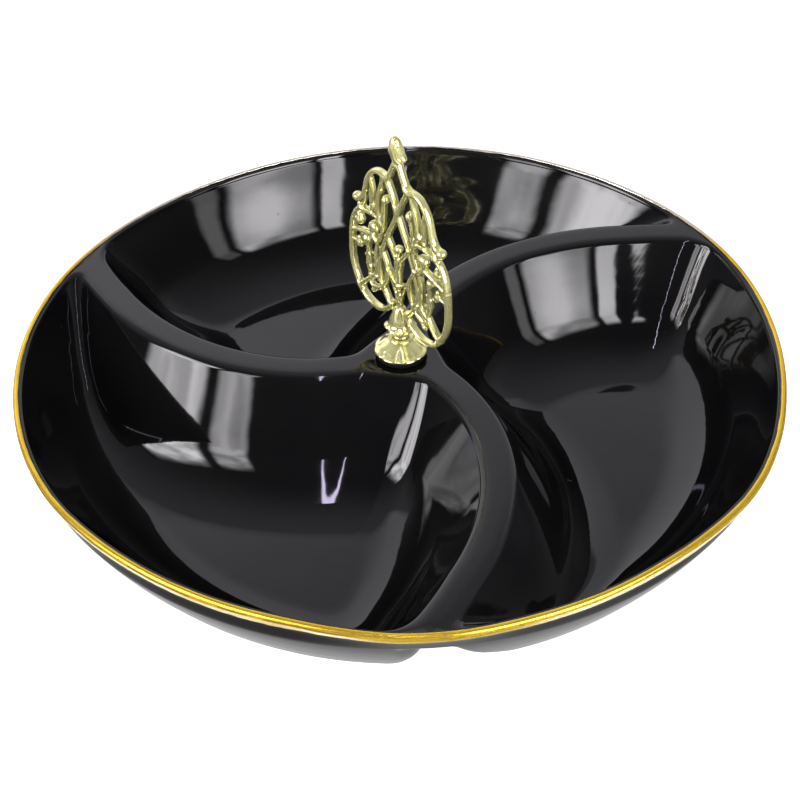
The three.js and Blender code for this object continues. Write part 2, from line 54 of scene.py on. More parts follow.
RIDGE_W = 6.7
DEPTH = 35.0
WALL_DEG = 58.0
SHOULDER_R = 3.0
LIP_SHARE = 0.34  # the shoulder is sharper along the lip
FLOOR_R = 28.0
WALL_T = 4.5
GROOVE_Z = 32.0
HOLLOW_FILL = 5.0  # how much thicker the lobes are on each side of the hollow under a ridge
SKIRT_R = 123.8
HOLE_R = 3.2
CORNER_BLEND = 7.0
LOBE_BLEND = 3.0
SPOKES = 300  # points round a compartment
RIM_PTS = 720  # points round the rim
CROWN = 0.10  # rise of the ridge tops towards their middle
RIDGE_TOP = 2.75  # reach of the domed ridge top from the wall towards the middle
HANDLE_DEG = -52.0
RIM_PLANE = 40.5  # panel heights are measured from here


# ---- small numeric helpers -------------------------------------------------
def rad(d):
    return d * math.pi / 180.0


def smooth(lo, hi, x):
    t = np.clip((np.asarray(x, float) - lo) / (hi - lo), 0.0, 1.0)
    return t * t * (3.0 - 2.0 * t)


def spline(points, step):
    """Centripetal Catmull-Rom curve through points (any dimension), sampled about every step."""
    p = np.asarray(points, float)
    p = np.vstack([2 * p[0] - p[1], p, 2 * p[-1] - p[-2]])
    out = []
    for i in range(1, len(p) - 2):
        p0, p1, p2, p3 = p[i - 1 : i + 3]
        t0 = 0.0
        t1 = t0 + max(1e-6, np.linalg.norm((p1 - p0)[:2])) ** 0.5
        t2 = t1 + max(1e-6, np.linalg.norm((p2 - p1)[:2])) ** 0.5
        t3 = t2 + max(1e-6, np.linalg.norm((p3 - p2)[:2])) ** 0.5
        n = max(1, int(round(np.linalg.norm((p2 - p1)[:2]) / step)))
        t = (t1 + (t2 - t1) * np.arange(n) / n)[:, None]
        a1 = (t1 - t) / (t1 - t0) * p0 + (t - t0) / (t1 - t0) * p1
        a2 = (t2 - t) / (t2 - t1) * p1 + (t - t1) / (t2 - t1) * p2
        a3 = (t3 - t) / (t3 - t2) * p2 + (t - t2) / (t3 - t2) * p3
        b1 = (t2 - t) / (t2 - t0) * a1 + (t - t0) / (t2 - t0) * a2
        b2 = (t3 - t) / (t3 - t1) * a2 + (t - t1) / (t3 - t1) * a3
        out.append((t2 - t) / (t2 - t1) * b1 + (t - t1) / (t2 - t1) * b2)
    out.append(p[-2:-1])
    return np.vstack(out)


def ripple(x, y, seed, waves, count=7):
    """Smooth irregular surface of about unit height from a few sine waves of the given lengths."""
    rng = np.random.default_rng(seed)
    total = 0.0
    for _ in range(count):
        a, ph = rng.uniform(0, 2 * math.pi, 2)
        k = 2 * math.pi / rng.uniform(*waves)
        total = total + np.sin(k * (x * math.cos(a) + y * math.sin(a)) + ph)
    return total / math.sqrt(count / 2.0) * 0.7


def ring_noise(theta, seed, low, high):
    """Irregular function of the angle round the dish, of about unit height."""
    rng = np.random.default_rng(seed)
    total, power = 0.0, 0.0
    for m in range(low, high + 1):
        a, ph = rng.uniform(0.4, 1.0), rng.uniform(0, 2 * math.pi)
        a /= 1.0 + 1.5 * (m - low) / max(1, high - low)
        total = total + a * np.sin(m * theta + ph)
        power += a * a / 2
    return total / math.sqrt(power) * 0.55


# ---- objects ----------------------------------------------------------------
def weighted_normals(verts, faces):
    """Vertex normals in which each face counts by its area."""
    n = np.zeros_like(verts)
    for size in (3, 4):
        f = np.array([q for q in faces if len(q) == size])
        if not len(f):
            continue
        if size == 3:
            a = np.cross(verts[f[:, 1]] - verts[f[:, 0]], verts[f[:, 2]] - verts[f[:, 0]])
        else:
            a = np.cross(verts[f[:, 2]] - verts[f[:, 0]], verts[f[:, 3]] - verts[f[:, 1]])
        for c in range(size):
            np.add.at(n, f[:, c], a)
    return n / np.maximum(np.linalg.norm(n, axis=1), 1e-20)[:, None]


def make(name, verts, faces, material, body, node, weighted=False):
    verts = np.asarray(verts, float) * 0.001
    faces = [tuple(int(i) for i in f) for f in faces]
    tri = np.array([(f[0], f[k], f[k + 1]) for f in faces for k in range(1, len(f) - 1)])
    volume = np.einsum("ij,ij->i", verts[tri[:, 0]], np.cross(verts[tri[:, 1]], verts[tri[:, 2]])).sum()
    assert volume > 0, name + " is inside out"
    me = bpy.data.meshes.new(name)
    me.from_pydata(verts.tolist(), [], faces)
    me.polygons.foreach_set("use_smooth", [True] * len(me.polygons))
    me.update()
    if weighted:
        me.normals_split_custom_set_from_vertices(
            weighted_normals(verts, faces).tolist()
        )
    me.materials.append(material)
    o = bpy.data.objects.new(name, me)
    bpy.context.scene.collection.objects.link(o)
    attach(o, body)
    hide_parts(node)
    return o


class Shell:
    """Vertices and faces collected piece by piece."""

    def __init__(self):
        self.v, self.f, self.n = [], [], 0

    def add(self, pts):
        pts = np.atleast_2d(np.asarray(pts, float))
        ids = np.arange(self.n, self.n + len(pts))
        self.v.append(pts)
        self.n += len(pts)
        return ids

    def band(self, a, b):
        """Quads between closed rings a and b, facing out when b lies to the left of a."""
        a2, b2 = np.roll(a, -1), np.roll(b, -1)
        self.f.extend(zip(a, a2, b2, b))

    def fan(self, ring, tip, flip=False):
        nxt = np.roll(ring, -1)
        for p, q in zip(ring, nxt):
            self.f.append((q, p, tip) if flip else (p, q, tip))

    def verts(self):
        return np.vstack(self.v)


def lathe(profile, count, shape=None, closed=False):
    """Body of revolution about Z from [radius, height] pairs given upwards on the outside.
    shape(theta, radius, height) returns the changed radius and height."""
    s = Shell()
    th = np.arange(count) * 2 * math.pi / count
    rings = []
    for r, z in profile:
        if r < 1e-6:
            rings.append(s.add([[0, 0, z]])[0])
            continue
        rr, zz = (shape(th, r, z) if shape else (r, z))
        rr = rr + 0 * th
        zz = zz + 0 * th
        rings.append(s.add(np.stack([rr * np.cos(th), rr * np.sin(th), zz], 1)))
    pairs = list(zip(rings, rings[1:]))
    if closed:
        pairs.append((rings[-1], rings[0]))
    for a, b in pairs:
        if np.ndim(a) == 0:
            s.fan(b, a, flip=True)
        elif np.ndim(b) == 0:
            s.fan(a, b)
        else:
            s.band(a, b)
    return s


# ---- plan of the dish ---------------------------------------------------------
def ridge_angle(r):
    return np.radians(-35.5 - 0.43 * r + 0.06 * np.maximum(0.0, r - 105.0))


_rl = np.arange(0.0, 137.0, 1.5)
_line = np.stack([_rl * np.cos(ridge_angle(_rl)), _rl * np.sin(ridge_angle(_rl))], 1)
_seg, _dir = _line[:-1], np.diff(_line, axis=0)
_len2 = (_dir**2).sum(1)


def ridge_distance(p):
    best = np.full(len(p), 1e9)
    for k in range(3):
        c, s = math.cos(rad(-120 * k)), math.sin(rad(-120 * k))
        q = np.stack([c * p[:, 0] - s * p[:, 1], s * p[:, 0] + c * p[:, 1]], 1)
        d = q[:, None, :] - _seg[None]
        u = np.clip((d * _dir).sum(-1) / _len2, 0, 1)
        e = d - u[..., None] * _dir
        best = np.minimum(best, np.sqrt((e**2).sum(-1).min(1)))
    return best


def soft_min(a, b, k):
    h = np.maximum(k - np.abs(a - b), 0) / k
    return np.minimum(a, b) - h * h * k / 4


def inset(p, bounds):
    """Distance in plan from a compartment outline (clear of ridge lines, of the axis, within a radius)."""
    side, hub, rim = bounds[:3]
    blend = bounds[3] if len(bounds) > 3 else CORNER_BLEND
    r = np.hypot(p[:, 0], p[:, 1])
    return soft_min(
        soft_min(ridge_distance(p) - side, r - hub, CORNER_BLEND), rim - r, blend
    )


SHOULDER_RUN = SHOULDER_R * math.sin(rad(WALL_DEG))


def within(d):
    if d < 0:
        lip = 0.07 * d
    elif d < SHOULDER_RUN:
        lip = LIP_SHARE * d
    else:
        lip = d - (1 - LIP_SHARE) * SHOULDER_RUN
    return (RIDGE_W / 2 + d, HUB_R + d, RIM_IN - lip)


def flank(d):
    """Half width of the hollow under a ridge: narrow between the lobes, wide at the feet."""
    return RIDGE_W / 2 + d - HOLLOW_FILL * float(smooth(0, 10, d) * (1 - smooth(14, 34, d)))


def lobe(d):
    """Outline of the underside at a distance d in from the compartment's edge."""
    return (flank(d), HUB_R + d, RIM_IN + 0.8 - d, LOBE_BLEND)


def swing(p):
    """Plan position of points given in the plane where the ridges are straight."""
    r = np.hypot(p[:, 0], p[:, 1])
    t = np.arctan2(p[:, 1], p[:, 0]) + ridge_angle(r)
    return np.stack([r * np.cos(t), r * np.sin(t)], 1)


_r, _a = np.meshgrid(np.arange(50.0, 96.0), np.radians(np.arange(30.0, 91.0)))
_g = np.stack([(_r * np.cos(_a)).ravel(), (_r * np.sin(_a)).ravel()], 1)
_f = inset(swing(_g), within(0))
SEAT = _g[int(np.argmax(_f))]
SEAT_XY = swing(SEAT[None])[0]


def along(angles, s):
    return swing(SEAT[None] + s[:, None] * np.stack([np.cos(angles), np.sin(angles)], 1))


def march(angles, bounds):
    """Distance from the deepest point to the outline in each direction."""
    s = np.zeros(len(angles))
    live = np.ones(len(angles), bool)
    while live.any():
        f = inset(along(angles[live], s[live] + 1.0), bounds)
        go = np.where(live)[0]
        s[go] += 1.0
        live[go[f <= 0]] = False
    return s


def bisect(angles, bounds, hi):
    lo, hi = np.zeros(len(angles)), hi.copy()
    for _ in range(34):
        m = (lo + hi) / 2
        inside = inset(along(angles, m), bounds) > 0
        lo, hi = np.where(inside, m, lo), np.where(inside, hi, m)
    return lo


# directions round a compartment, closer together where its outline turns
_fine = np.arange(360) * 2 * math.pi / 360
_o = along(_fine, bisect(_fine, within(0), march(_fine, within(0))))
_n = np.roll(_o, -1, axis=0) - _o
_l = np.hypot(_n[:, 0], _n[:, 1])
_h = np.arctan2(_n[:, 1], _n[:, 0])
_t = _h - np.roll(_h, 1)
_run = np.concatenate([[0], np.cumsum(_l + 22 * np.abs(np.arctan2(np.sin(_t), np.cos(_t))))])
ANGLES = np.interp(
    _run[-1] * np.arange(SPOKES) / SPOKES, _run, np.append(_fine, 2 * math.pi)
)


# ---- section of a compartment wall: [inset, depth] ----------------------------
TAN = math.tan(rad(WALL_DEG))
sec_top = (SHOULDER_R * math.sin(rad(WALL_DEG)), SHOULDER_R * (1 - math.cos(rad(WALL_DEG))))
foot_depth = DEPTH - FLOOR_R * (1 - math.cos(rad(WALL_DEG)))
foot_in = sec_top[0] + (foot_depth - sec_top[1]) / TAN
floor_in = foot_in + FLOOR_R * math.sin(rad(WALL_DEG))
section = [(-RIDGE_TOP, 0.0), (-2.25, 0.0), (-1.7, 0.0), (-1.0, 0.0), (-0.4, 0.0)]
for a in (7.5, 14, 21, 28, 35, 42, 50, WALL_DEG):
    section.append((SHOULDER_R * math.sin(rad(a)), SHOULDER_R * (1 - math.cos(rad(a)))))
for t in (0.12, 0.28, 0.46, 0.64, 0.82):
    section.append(
        (sec_top[0] + t * (foot_in - sec_top[0]), sec_top[1] + t * (foot_depth - sec_top[1]))
    )
for a in (WALL_DEG, 53, 47, 41, 35, 29, 23, 17, 11, 5, 0):
    section.append(
        (floor_in - FLOOR_R * math.sin(rad(a)), DEPTH - FLOOR_R * (1 - math.cos(rad(a))))
    )
for d in (41.3, 43.6, 46.0, 48.4, 50.6):
    section.append((d, DEPTH))


def crown(d):
    """Rise of the ridge top above the plain section at an inset d."""
    d = np.asarray(d, float)
    end = SHOULDER_R * math.sin(rad(7.5))
    z = CROWN * (1 - np.maximum((d + RIDGE_TOP) / (end + RIDGE_TOP), 0) ** 2)
    flat = np.where(d > 0, -(SHOULDER_R - np.sqrt(np.maximum(SHOULDER_R**2 - d**2, 0))), 0.0)
    return np.where(d < end, z - flat, 0.0)


def unevenness(p):
    """Slight hand-made unevenness of the glazed surfaces, none at the hub."""
    r = np.hypot(p[:, 0], p[:, 1])
    return 0.05 * ripple(p[:, 0], p[:, 1], 11, (38, 90)) * smooth(14, 34, r)


# how far the hand-finished rim lies from its circle: degrees round the dish, millimetres
RIM_OFF = [
    (-180, -0.05), (-168, -0.15), (-156, 0.15), (-147, 0.15), (-138, -0.65), (-126, -1.35),
    (-114, -1.55), (-106, -1.45), (-99, -0.6), (-90, 0.7), (-83, 0.6), (-72, -0.45),
    (-60, -0.9), (-52, -1.1), (-44, -0.6), (-36, 0.2), (-30, 0.3), (-21, -0.5), (-12, -1.3),
    (-5, -1.55), (4, -1.2), (13, -0.6), (22, 0.2), (32, 0.65), (44, 0.7), (56, 0.7), (68, 0.6),
    (80, 0.3), (92, 0.0), (103, -0.5), (114, -1.1), (124, -1.4), (134, -1.2), (145, -0.5),
    (157, -0.1), (169, 0.0),
]
_off = spline([(a - 360, b) for a, b in RIM_OFF] + RIM_OFF + [(a + 360, b) for a, b in RIM_OFF], 1.0)


def rim_sway(theta):
    """How far the rim lies from its true circle and below its true height."""
    dr = np.interp(np.degrees(theta), _off[:, 0], _off[:, 1]) - 0.42
    dr = dr - 0.05 * ring_noise(theta, 5, 9, 24)
    dz = -0.16 - 0.14 * ring_noise(theta, 9, 2, 9)
    return np.minimum(dr, 0.28), np.clip(dz, -0.5, 0)


def sway(pts, outside=False):
    """Points of the lip and what lies against it, moved with the rim's own unevenness."""
    th = np.arctan2(pts[:, 1], pts[:, 0])
    r = np.hypot(pts[:, 0], pts[:, 1])
    w = smooth(96, 124, r) * (smooth(31, 38.5, pts[:, 2]) if outside else smooth(12, 37, pts[:, 2]))
    dr, dz = rim_sway(th)
    k = 1 + w * dr / np.maximum(r, 1)
    return np.stack([pts[:, 0] * k, pts[:, 1] * k, pts[:, 2] + w * dz], 1)


LIP = spline(
    [
        (124.6, 39.5),
        (124.95, 39.95),
        (125.6, 40.1),
        (126.2, 39.85),
        (126.55, 39.2),
        (126.6, 38.2),
        (125.5, 36.0),
        (SKIRT_R, GROOVE_Z),
    ],
    0.28,
)


def turn(p, deg):
    c, s = math.cos(rad(deg)), math.sin(rad(deg))
    q = np.array(p, float)
    q[:, 0], q[:, 1] = c * p[:, 0] - s * p[:, 1], s * p[:, 0] + c * p[:, 1]
    return q


def circle(r, z, n):
    t = np.arange(n) * 2 * math.pi / n
    return np.stack([r * np.cos(t), r * np.sin(t), 0 * t + z], 1)


def in_loop(p, loop):
    """Which points lie inside a closed outline."""
    x, y = p[:, 0][:, None], p[:, 1][:, None]
    ax, ay = loop[:, 0][None], loop[:, 1][None]
    bx, by = np.roll(loop[:, 0], -1)[None], np.roll(loop[:, 1], -1)[None]
    hit = ((ay > y) != (by > y)) & (
        x < (bx - ax) * (y - ay) / np.where(by == ay, 1e-12, by - ay) + ax
    )
    return hit.sum(1) % 2 == 1


def land(shell, outer, holes, up):
    """Triangles between an outer ring and the holes in it, from the plan of their points."""
    v = shell.verts()
    ids = np.concatenate([outer, *holes])
    edges, at = [], 0
    for loop in (outer, *holes):
        n = len(loop)
        edges += [(at + i, at + (i + 1) % n) for i in range(n)]
        at += n
    co = [Vector((v[i][0], v[i][1])) for i in ids]
    got = delaunay_2d_cdt(co, edges, [], 0, 1e-6)
    back = [ids[o[0]] for o in got[3]]
    tri = np.array([[back[i] for i in t] for t in got[2]])
    mid = v[tri].mean(1)
    keep = in_loop(mid, v[outer])
    for h in holes:
        keep &= ~in_loop(mid, v[h])
    for a, b, c in tri[keep]:
        area = (v[b][0] - v[a][0]) * (v[c][1] - v[a][1]) - (v[c][0] - v[a][0]) * (
            v[b][1] - v[a][1]
        )
        shell.f.append((a, b, c) if (area > 0) == up else (a, c, b))


def dish_shell():
    s = Shell()
    # inside of the compartments
    reach = march(ANGLES, within(section[0][0]))
    rings = []
    for d, depth in section:
        b = within(d)
        reach = bisect(ANGLES, b, reach + 1e-6)
        p = along(ANGLES, reach)
        r = np.hypot(p[:, 0], p[:, 1])
        near = (RIM_IN - r) - (ridge_distance(p) - RIDGE_W / 2)
        w = smooth(-2, 6, near) * smooth(13, 30, r)
        rings.append(np.column_stack([p, LAND_Z - depth + w * crown(d)]))
    mouths = []
    for k in range(3):
        got = []
        for ring in rings:
            q = turn(ring, 120 * k)
            q[:, 2] += unevenness(q)
            got.append(s.add(sway(q)))
        for a, b in zip(got, got[1:]):
            s.band(a, b)
        c = turn(np.array([[*SEAT_XY, LAND_Z - DEPTH]]), 120 * k)
        c[:, 2] += unevenness(c)
        s.fan(got[-1], s.add(c)[0])
        mouths.append(got[0])
    # lip
    lip = [s.add(sway(circle(r, z, RIM_PTS), True)) for r, z in LIP]
    for a, b in zip(lip, lip[1:]):
        s.band(b, a)
    # hole for the screw, with broken edges
    hole = [
        s.add(circle(r, z, 48))
        for r, z in (
            (HOLE_R + 0.5, LAND_Z),
            (HOLE_R + 0.12, LAND_Z - 0.15),
            (HOLE_R, LAND_Z - 0.5),
            (HOLE_R, GROOVE_Z + 0.5),
            (HOLE_R + 0.12, GROOVE_Z + 0.15),
            (HOLE_R + 0.5, GROOVE_Z),
        )
    ]
    for a, b in zip(hole, hole[1:]):
        s.band(a, b)
    # underside of the lobes
    t_in, t_down = WALL_T * math.sin(rad(WALL_DEG)), WALL_T * math.cos(rad(WALL_DEG))

    def lowered(depth):
        return sec_top[0] - t_in + (depth - sec_top[1] - t_down) / TAN

    outer = spline(
        [(36.0, 125.5), (32.0, 123.78), (25.5, 120.3), (15.28, 113.5), (7.6, 106.8)], 1.0
    )
    heights = [32.0, 31.6, 31.0, 30.0, 28.8, 27.2, 25.5, 23.5, 21.5, 19.5, 17.4]
    under = []
    for z in heights:
        d = lowered(LAND_Z - z)
        rim = float(np.interp(z, outer[::-1, 0], outer[::-1, 1]))
        # rounded edge where the lobe leaves the hollow
        lead = 1.1 * (1 - min(1.0, (32.0 - z) / 1.6)) ** 2
        under.append(((flank(d) - lead, HUB_R + d - lead, rim, LOBE_BLEND), z))
    big = FLOOR_R + WALL_T
    for a in (WALL_DEG, 53, 47, 41, 35, 29, 23, 17, 12, 7, 3, 0):
        d = floor_in - big * math.sin(rad(a))
        under.append((lobe(d), big * (1 - math.cos(rad(a)))))
    for d in (41.5, 44.5, 47.5, 50.5):
        under.append((lobe(d), 0.0))
    reach = march(ANGLES, under[0][0])
    rings = []
    for b, z in under:
        reach = bisect(ANGLES, b, reach + 0.8)
        rings.append(np.column_stack([along(ANGLES, reach), np.full(SPOKES, z)]))
    lows = []
    for k in range(3):
        got = []
        for ring in rings:
            q = turn(ring, 120 * k)
            q[:, 2] += unevenness(q) * smooth(1.0, 8.0, q[:, 2]) * (1 - smooth(24, 31, q[:, 2]))
            got.append(s.add(sway(q, True)))
        for a, b in zip(got, got[1:]):
            s.band(b, a)
        c = turn(np.array([[*SEAT_XY, 0.0]]), 120 * k)
        s.fan(got[-1], s.add(c)[0], flip=True)
        lows.append(got[0])
    land(s, lip[0], [*mouths, hole[0]], True)
    land(s, lip[-1], [*lows, hole[-1]], False)
    return s


# ---- gilding: a brushed film over the lip, thin and uneven at both edges --------
def gilding_shell():
    s = Shell()
    run = np.concatenate([[0], np.cumsum(np.hypot(*np.diff(LIP, axis=0).T))])
    tan = np.gradient(LIP, axis=0)
    tan /= np.linalg.norm(tan, axis=1)[:, None]
    nor = np.stack([-tan[:, 1], tan[:, 0]], 1)
    n = 960
    th = np.arange(n) * 2 * math.pi / n
    start = 0.40 + 0.16 * ring_noise(th, 21, 3, 30) + 0.09 * ring_noise(th, 22, 40, 150)
    stop = 5.10 + 0.38 * ring_noise(th, 23, 3, 26) + 0.16 * ring_noise(th, 24, 40, 170)
    start = np.clip(start, 0.04, 1.1)
    steps = 18
    rows = []
    for side in (1, 0):
        t_all = np.linspace(0, 1, steps)
        if side == 0:
            t_all = t_all[::-1]
        for t in t_all:
            at = start + t * (stop - start)
            lift = 0.012 + (0.05 * np.sin(math.pi * t) ** 0.4 + 0.008 if side else 0.0)
            r = np.interp(at, run, LIP[:, 0]) + lift * np.interp(at, run, nor[:, 0])
            z = np.interp(at, run, LIP[:, 1]) + lift * np.interp(at, run, nor[:, 1])
            rows.append(s.add(sway(np.stack([r * np.cos(th), r * np.sin(th), z], 1), True)))
    for a, b in zip(rows, rows[1:] + rows[:1]):
        s.band(b, a)
    return s


# ---- openwork panel as a distance field, fused like a casting ---------------------
STRANDS = [
    # path [along, up], half width at each end and middle, half thickness
    # stem from the finial to the shoulder
    ([(0.2, 73.6), (1.5, 71.2), (2.8, 68.5), (4.2, 65.8), (5.6, 64.4)], (1.05, 1.1, 1.1), 1.5),
    # shoulder arch to its flared tip
    ([(4.4, 65.5), (6.5, 65.2), (9.1, 65.2), (11.2, 64.5), (12.8, 63.1), (14.3, 61.0), (15.4, 58.4), (16.2, 55.4), (17.2, 52.8), (18.9, 50.9), (20.6, 50.2)], (1.15, 1.15, 1.1), 1.5),
    # thin inner bar beside the flared tip
    ([(16.0, 54.2), (16.5, 51.2), (17.6, 49.2), (19.4, 47.8)], (0.5, 0.62, 0.7), 1.1),
    # bar from the shoulder to the crossing
    ([(5.2, 64.4), (3.5, 61.4), (2.1, 58.6), (1.0, 56.0), (0.1, 54.4)], (1.0, 1.05, 1.1), 1.5),
    # lens bar from the crossing to the bell
    ([(-0.7, 56.4), (0.6, 52.7), (2.4, 48.8), (4.4, 45.0), (6.2, 41.0), (7.8, 37.0), (9.0, 33.0), (9.7, 29.4), (9.3, 25.6), (7.8, 21.8), (5.8, 18.8), (3.4, 16.0)], (1.15, 1.0, 1.1), 1.42),
    # bar inside the shoulder, its leaf tip
    ([(6.8, 64.4), (7.8, 60.8), (9.0, 57.2), (9.8, 53.6), (9.6, 50.4), (8.6, 47.2)], (0.9, 1.15, 1.05), 1.45),
    ([(9.8, 53.4), (10.5, 51.8), (11.1, 50.8)], (0.8, 0.85, 0.8), 1.15),
    # curl from the junction up to its bead
    ([(5.9, 56.2), (6.7, 54.4), (7.2, 52.0), (7.4, 49.6), (7.6, 47.0)], (0.8, 1.05, 1.0), 1.3),
    # leaf hung inside the shoulder
    ([(13.5, 60.4), (12.9, 58.0), (12.8, 54.8), (13.0, 51.4), (13.2, 48.4)], (0.95, 1.65, 0.9), 1.1),
    # middle arch
    ([(7.9, 46.0), (9.4, 47.2), (11.6, 47.8), (14.0, 47.6), (16.4, 47.2), (18.8, 47.0)], (1.1, 1.0, 1.05), 1.45),
    # second lobe
    ([(18.2, 47.4), (20.4, 45.6), (22.1, 43.0), (23.2, 40.0), (23.8, 36.6), (24.1, 33.0), (24.2, 29.6), (24.2, 26.4), (23.6, 23.2), (22.5, 20.0), (21.0, 17.2), (19.6, 15.6)], (1.1, 1.15, 1.15), 1.5),
    ([(20.6, 50.2), (19.4, 47.4)], (0.75, 0.65, 0.8), 0.9),
    # lower loop bar
    ([(20.8, 16.3), (18.7, 17.6), (16.8, 19.5), (14.9, 21.6), (13.1, 23.4), (11.1, 24.3), (9.1, 23.9), (7.7, 22.6)], (1.0, 1.05, 1.0), 1.45),
    # bottom arc
    ([(20.4, 16.4), (18.7, 14.1), (16.2, 12.6), (13.0, 11.9), (9.7, 12.2), (7.0, 13.5), (5.0, 15.4), (3.8, 17.6)], (1.15, 1.2, 1.2), 1.5),
    # scroll of the middle lobe
    ([(10.5, 42.8), (11.5, 43.8), (12.8, 43.9), (13.6, 42.9), (13.3, 41.3), (12.2, 39.8), (11.0, 38.6)], (0.9, 1.1, 0.95), 1.4),
    # branch from it to the outer bar
    ([(11.2, 38.9), (13.4, 39.5), (15.3, 39.2), (17.2, 38.7), (19.0, 38.3)], (1.0, 1.1, 1.05), 1.4),
    ([(18.6, 38.4), (20.4, 37.8), (22.2, 37.1), (23.9, 36.4)], (0.75, 0.9, 0.9), 1.2),
    # drops beside the outer bar
    ([(19.5, 44.0), (19.4, 42.0)], (1.0, 1.25, 1.2), 1.4),
    ([(19.6, 42.0), (21.2, 41.6), (23.0, 41.0)], (0.8, 0.7, 0.8), 1.0),
    ([(19.7, 35.2), (19.5, 32.8)], (1.0, 1.2, 1.15), 1.4),
    ([(19.6, 33.4), (21.8, 33.0), (24.0, 32.4)], (0.8, 0.7, 0.8), 1.0),
    # bar from the junction down to the loop bar
    ([(8.2, 46.6), (7.6, 44.2), (8.2, 41.6), (9.4, 39.4), (10.6, 38.2)], (1.0, 1.0, 0.95), 1.4),
    ([(10.6, 38.6), (10.5, 36.8), (11.0, 34.2), (11.3, 31.4), (11.0, 28.6), (11.2, 26.2), (12.2, 24.0)], (0.9, 1.1, 1.0), 1.4),
    # leaf of the lower lobe
    ([(16.0, 36.6), (15.5, 34.6)], (1.0, 1.2, 0.8), 1.35),
    ([(15.6, 34.8), (15.5, 31.8), (15.3, 28.6), (15.0, 25.4), (14.2, 22.6)], (0.8, 1.7, 0.9), 1.15),
    # leaf in the bottom loop
    ([(8.0, 21.6), (9.5, 20.5), (11.2, 19.8), (13.0, 19.4), (14.3, 20.2)], (0.85, 1.25, 0.7), 1.25),
    ([(11.4, 19.4), (12.4, 17.9), (13.3, 17.8)], (0.9, 0.75, 0.55), 0.9),
    # bars inside the lens
    ([(5.7, 43.2), (4.4, 41.4), (3.0, 39.4), (1.6, 37.6), (0.3, 36.2)], (1.0, 1.05, 1.0), 1.35),
    ([(8.7, 36.9), (7.2, 34.4), (5.8, 31.4), (5.4, 28.6), (6.0, 25.6), (7.6, 22.6)], (1.0, 1.1, 1.0), 1.4),
    # pointed leaf in the lens
    ([(5.2, 30.4), (3.4, 28.8), (1.7, 27.4), (0, 26.6)], (0.75, 0.58, 0.7), 1.2),
    ([(4.6, 30.0), (3.1, 26.8), (1.7, 23.8), (0.3, 21.4)], (0.6, 0.55, 0.7), 1.15),
]
BEADS = [
    # along, up, radius
    (21.1, 50.2, 1.4),
    (5.9, 56.5, 1.4),
    (12.0, 43.1, 1.55),
    (16.1, 36.6, 1.5),
    (19.4, 41.8, 1.35),
    (19.5, 33.0, 1.3),
    (13.9, 22.4, 0.95),
    (13.4, 17.7, 0.75),
    (11.2, 50.8, 0.9),
]
GRAINS = [
    # small grains on both faces of the leaves: along, up, radius, distance from the middle plane
    (7.7, 46.2, 0.62, 0.9), (12.9, 51.2, 0.6, 0.5), (13.5, 50.0, 0.55, 0.8), (15.5, 55.0, 0.5, 0.5),
    (14.4, 31.2, 0.55, 0.6), (16.5, 30.2, 0.55, 0.5), (14.0, 26.6, 0.7, 0.5), (16.0, 27.0, 0.5, 0.6),
]
CENTRE = [
    ([(0, 40.6), (0, 35.4), (0, 28.6), (0, 22.4), (0, 15.8)], (0.9, 1.1, 1.25), 1.25),
    ([(0, 38.4), (0, 35.4), (0, 32.0)], (0.8, 1.9, 0.7), 1.75),
    ([(0, 72.0), (0, 74.2)], (1.4, 1.0, 0.8), 1.0),
]
CENTRE_BEADS = [(0, 40.6, 1.5), (0, 72.2, 1.7), (0, 26.4, 1.5), (0, 21.6, 1.3)]


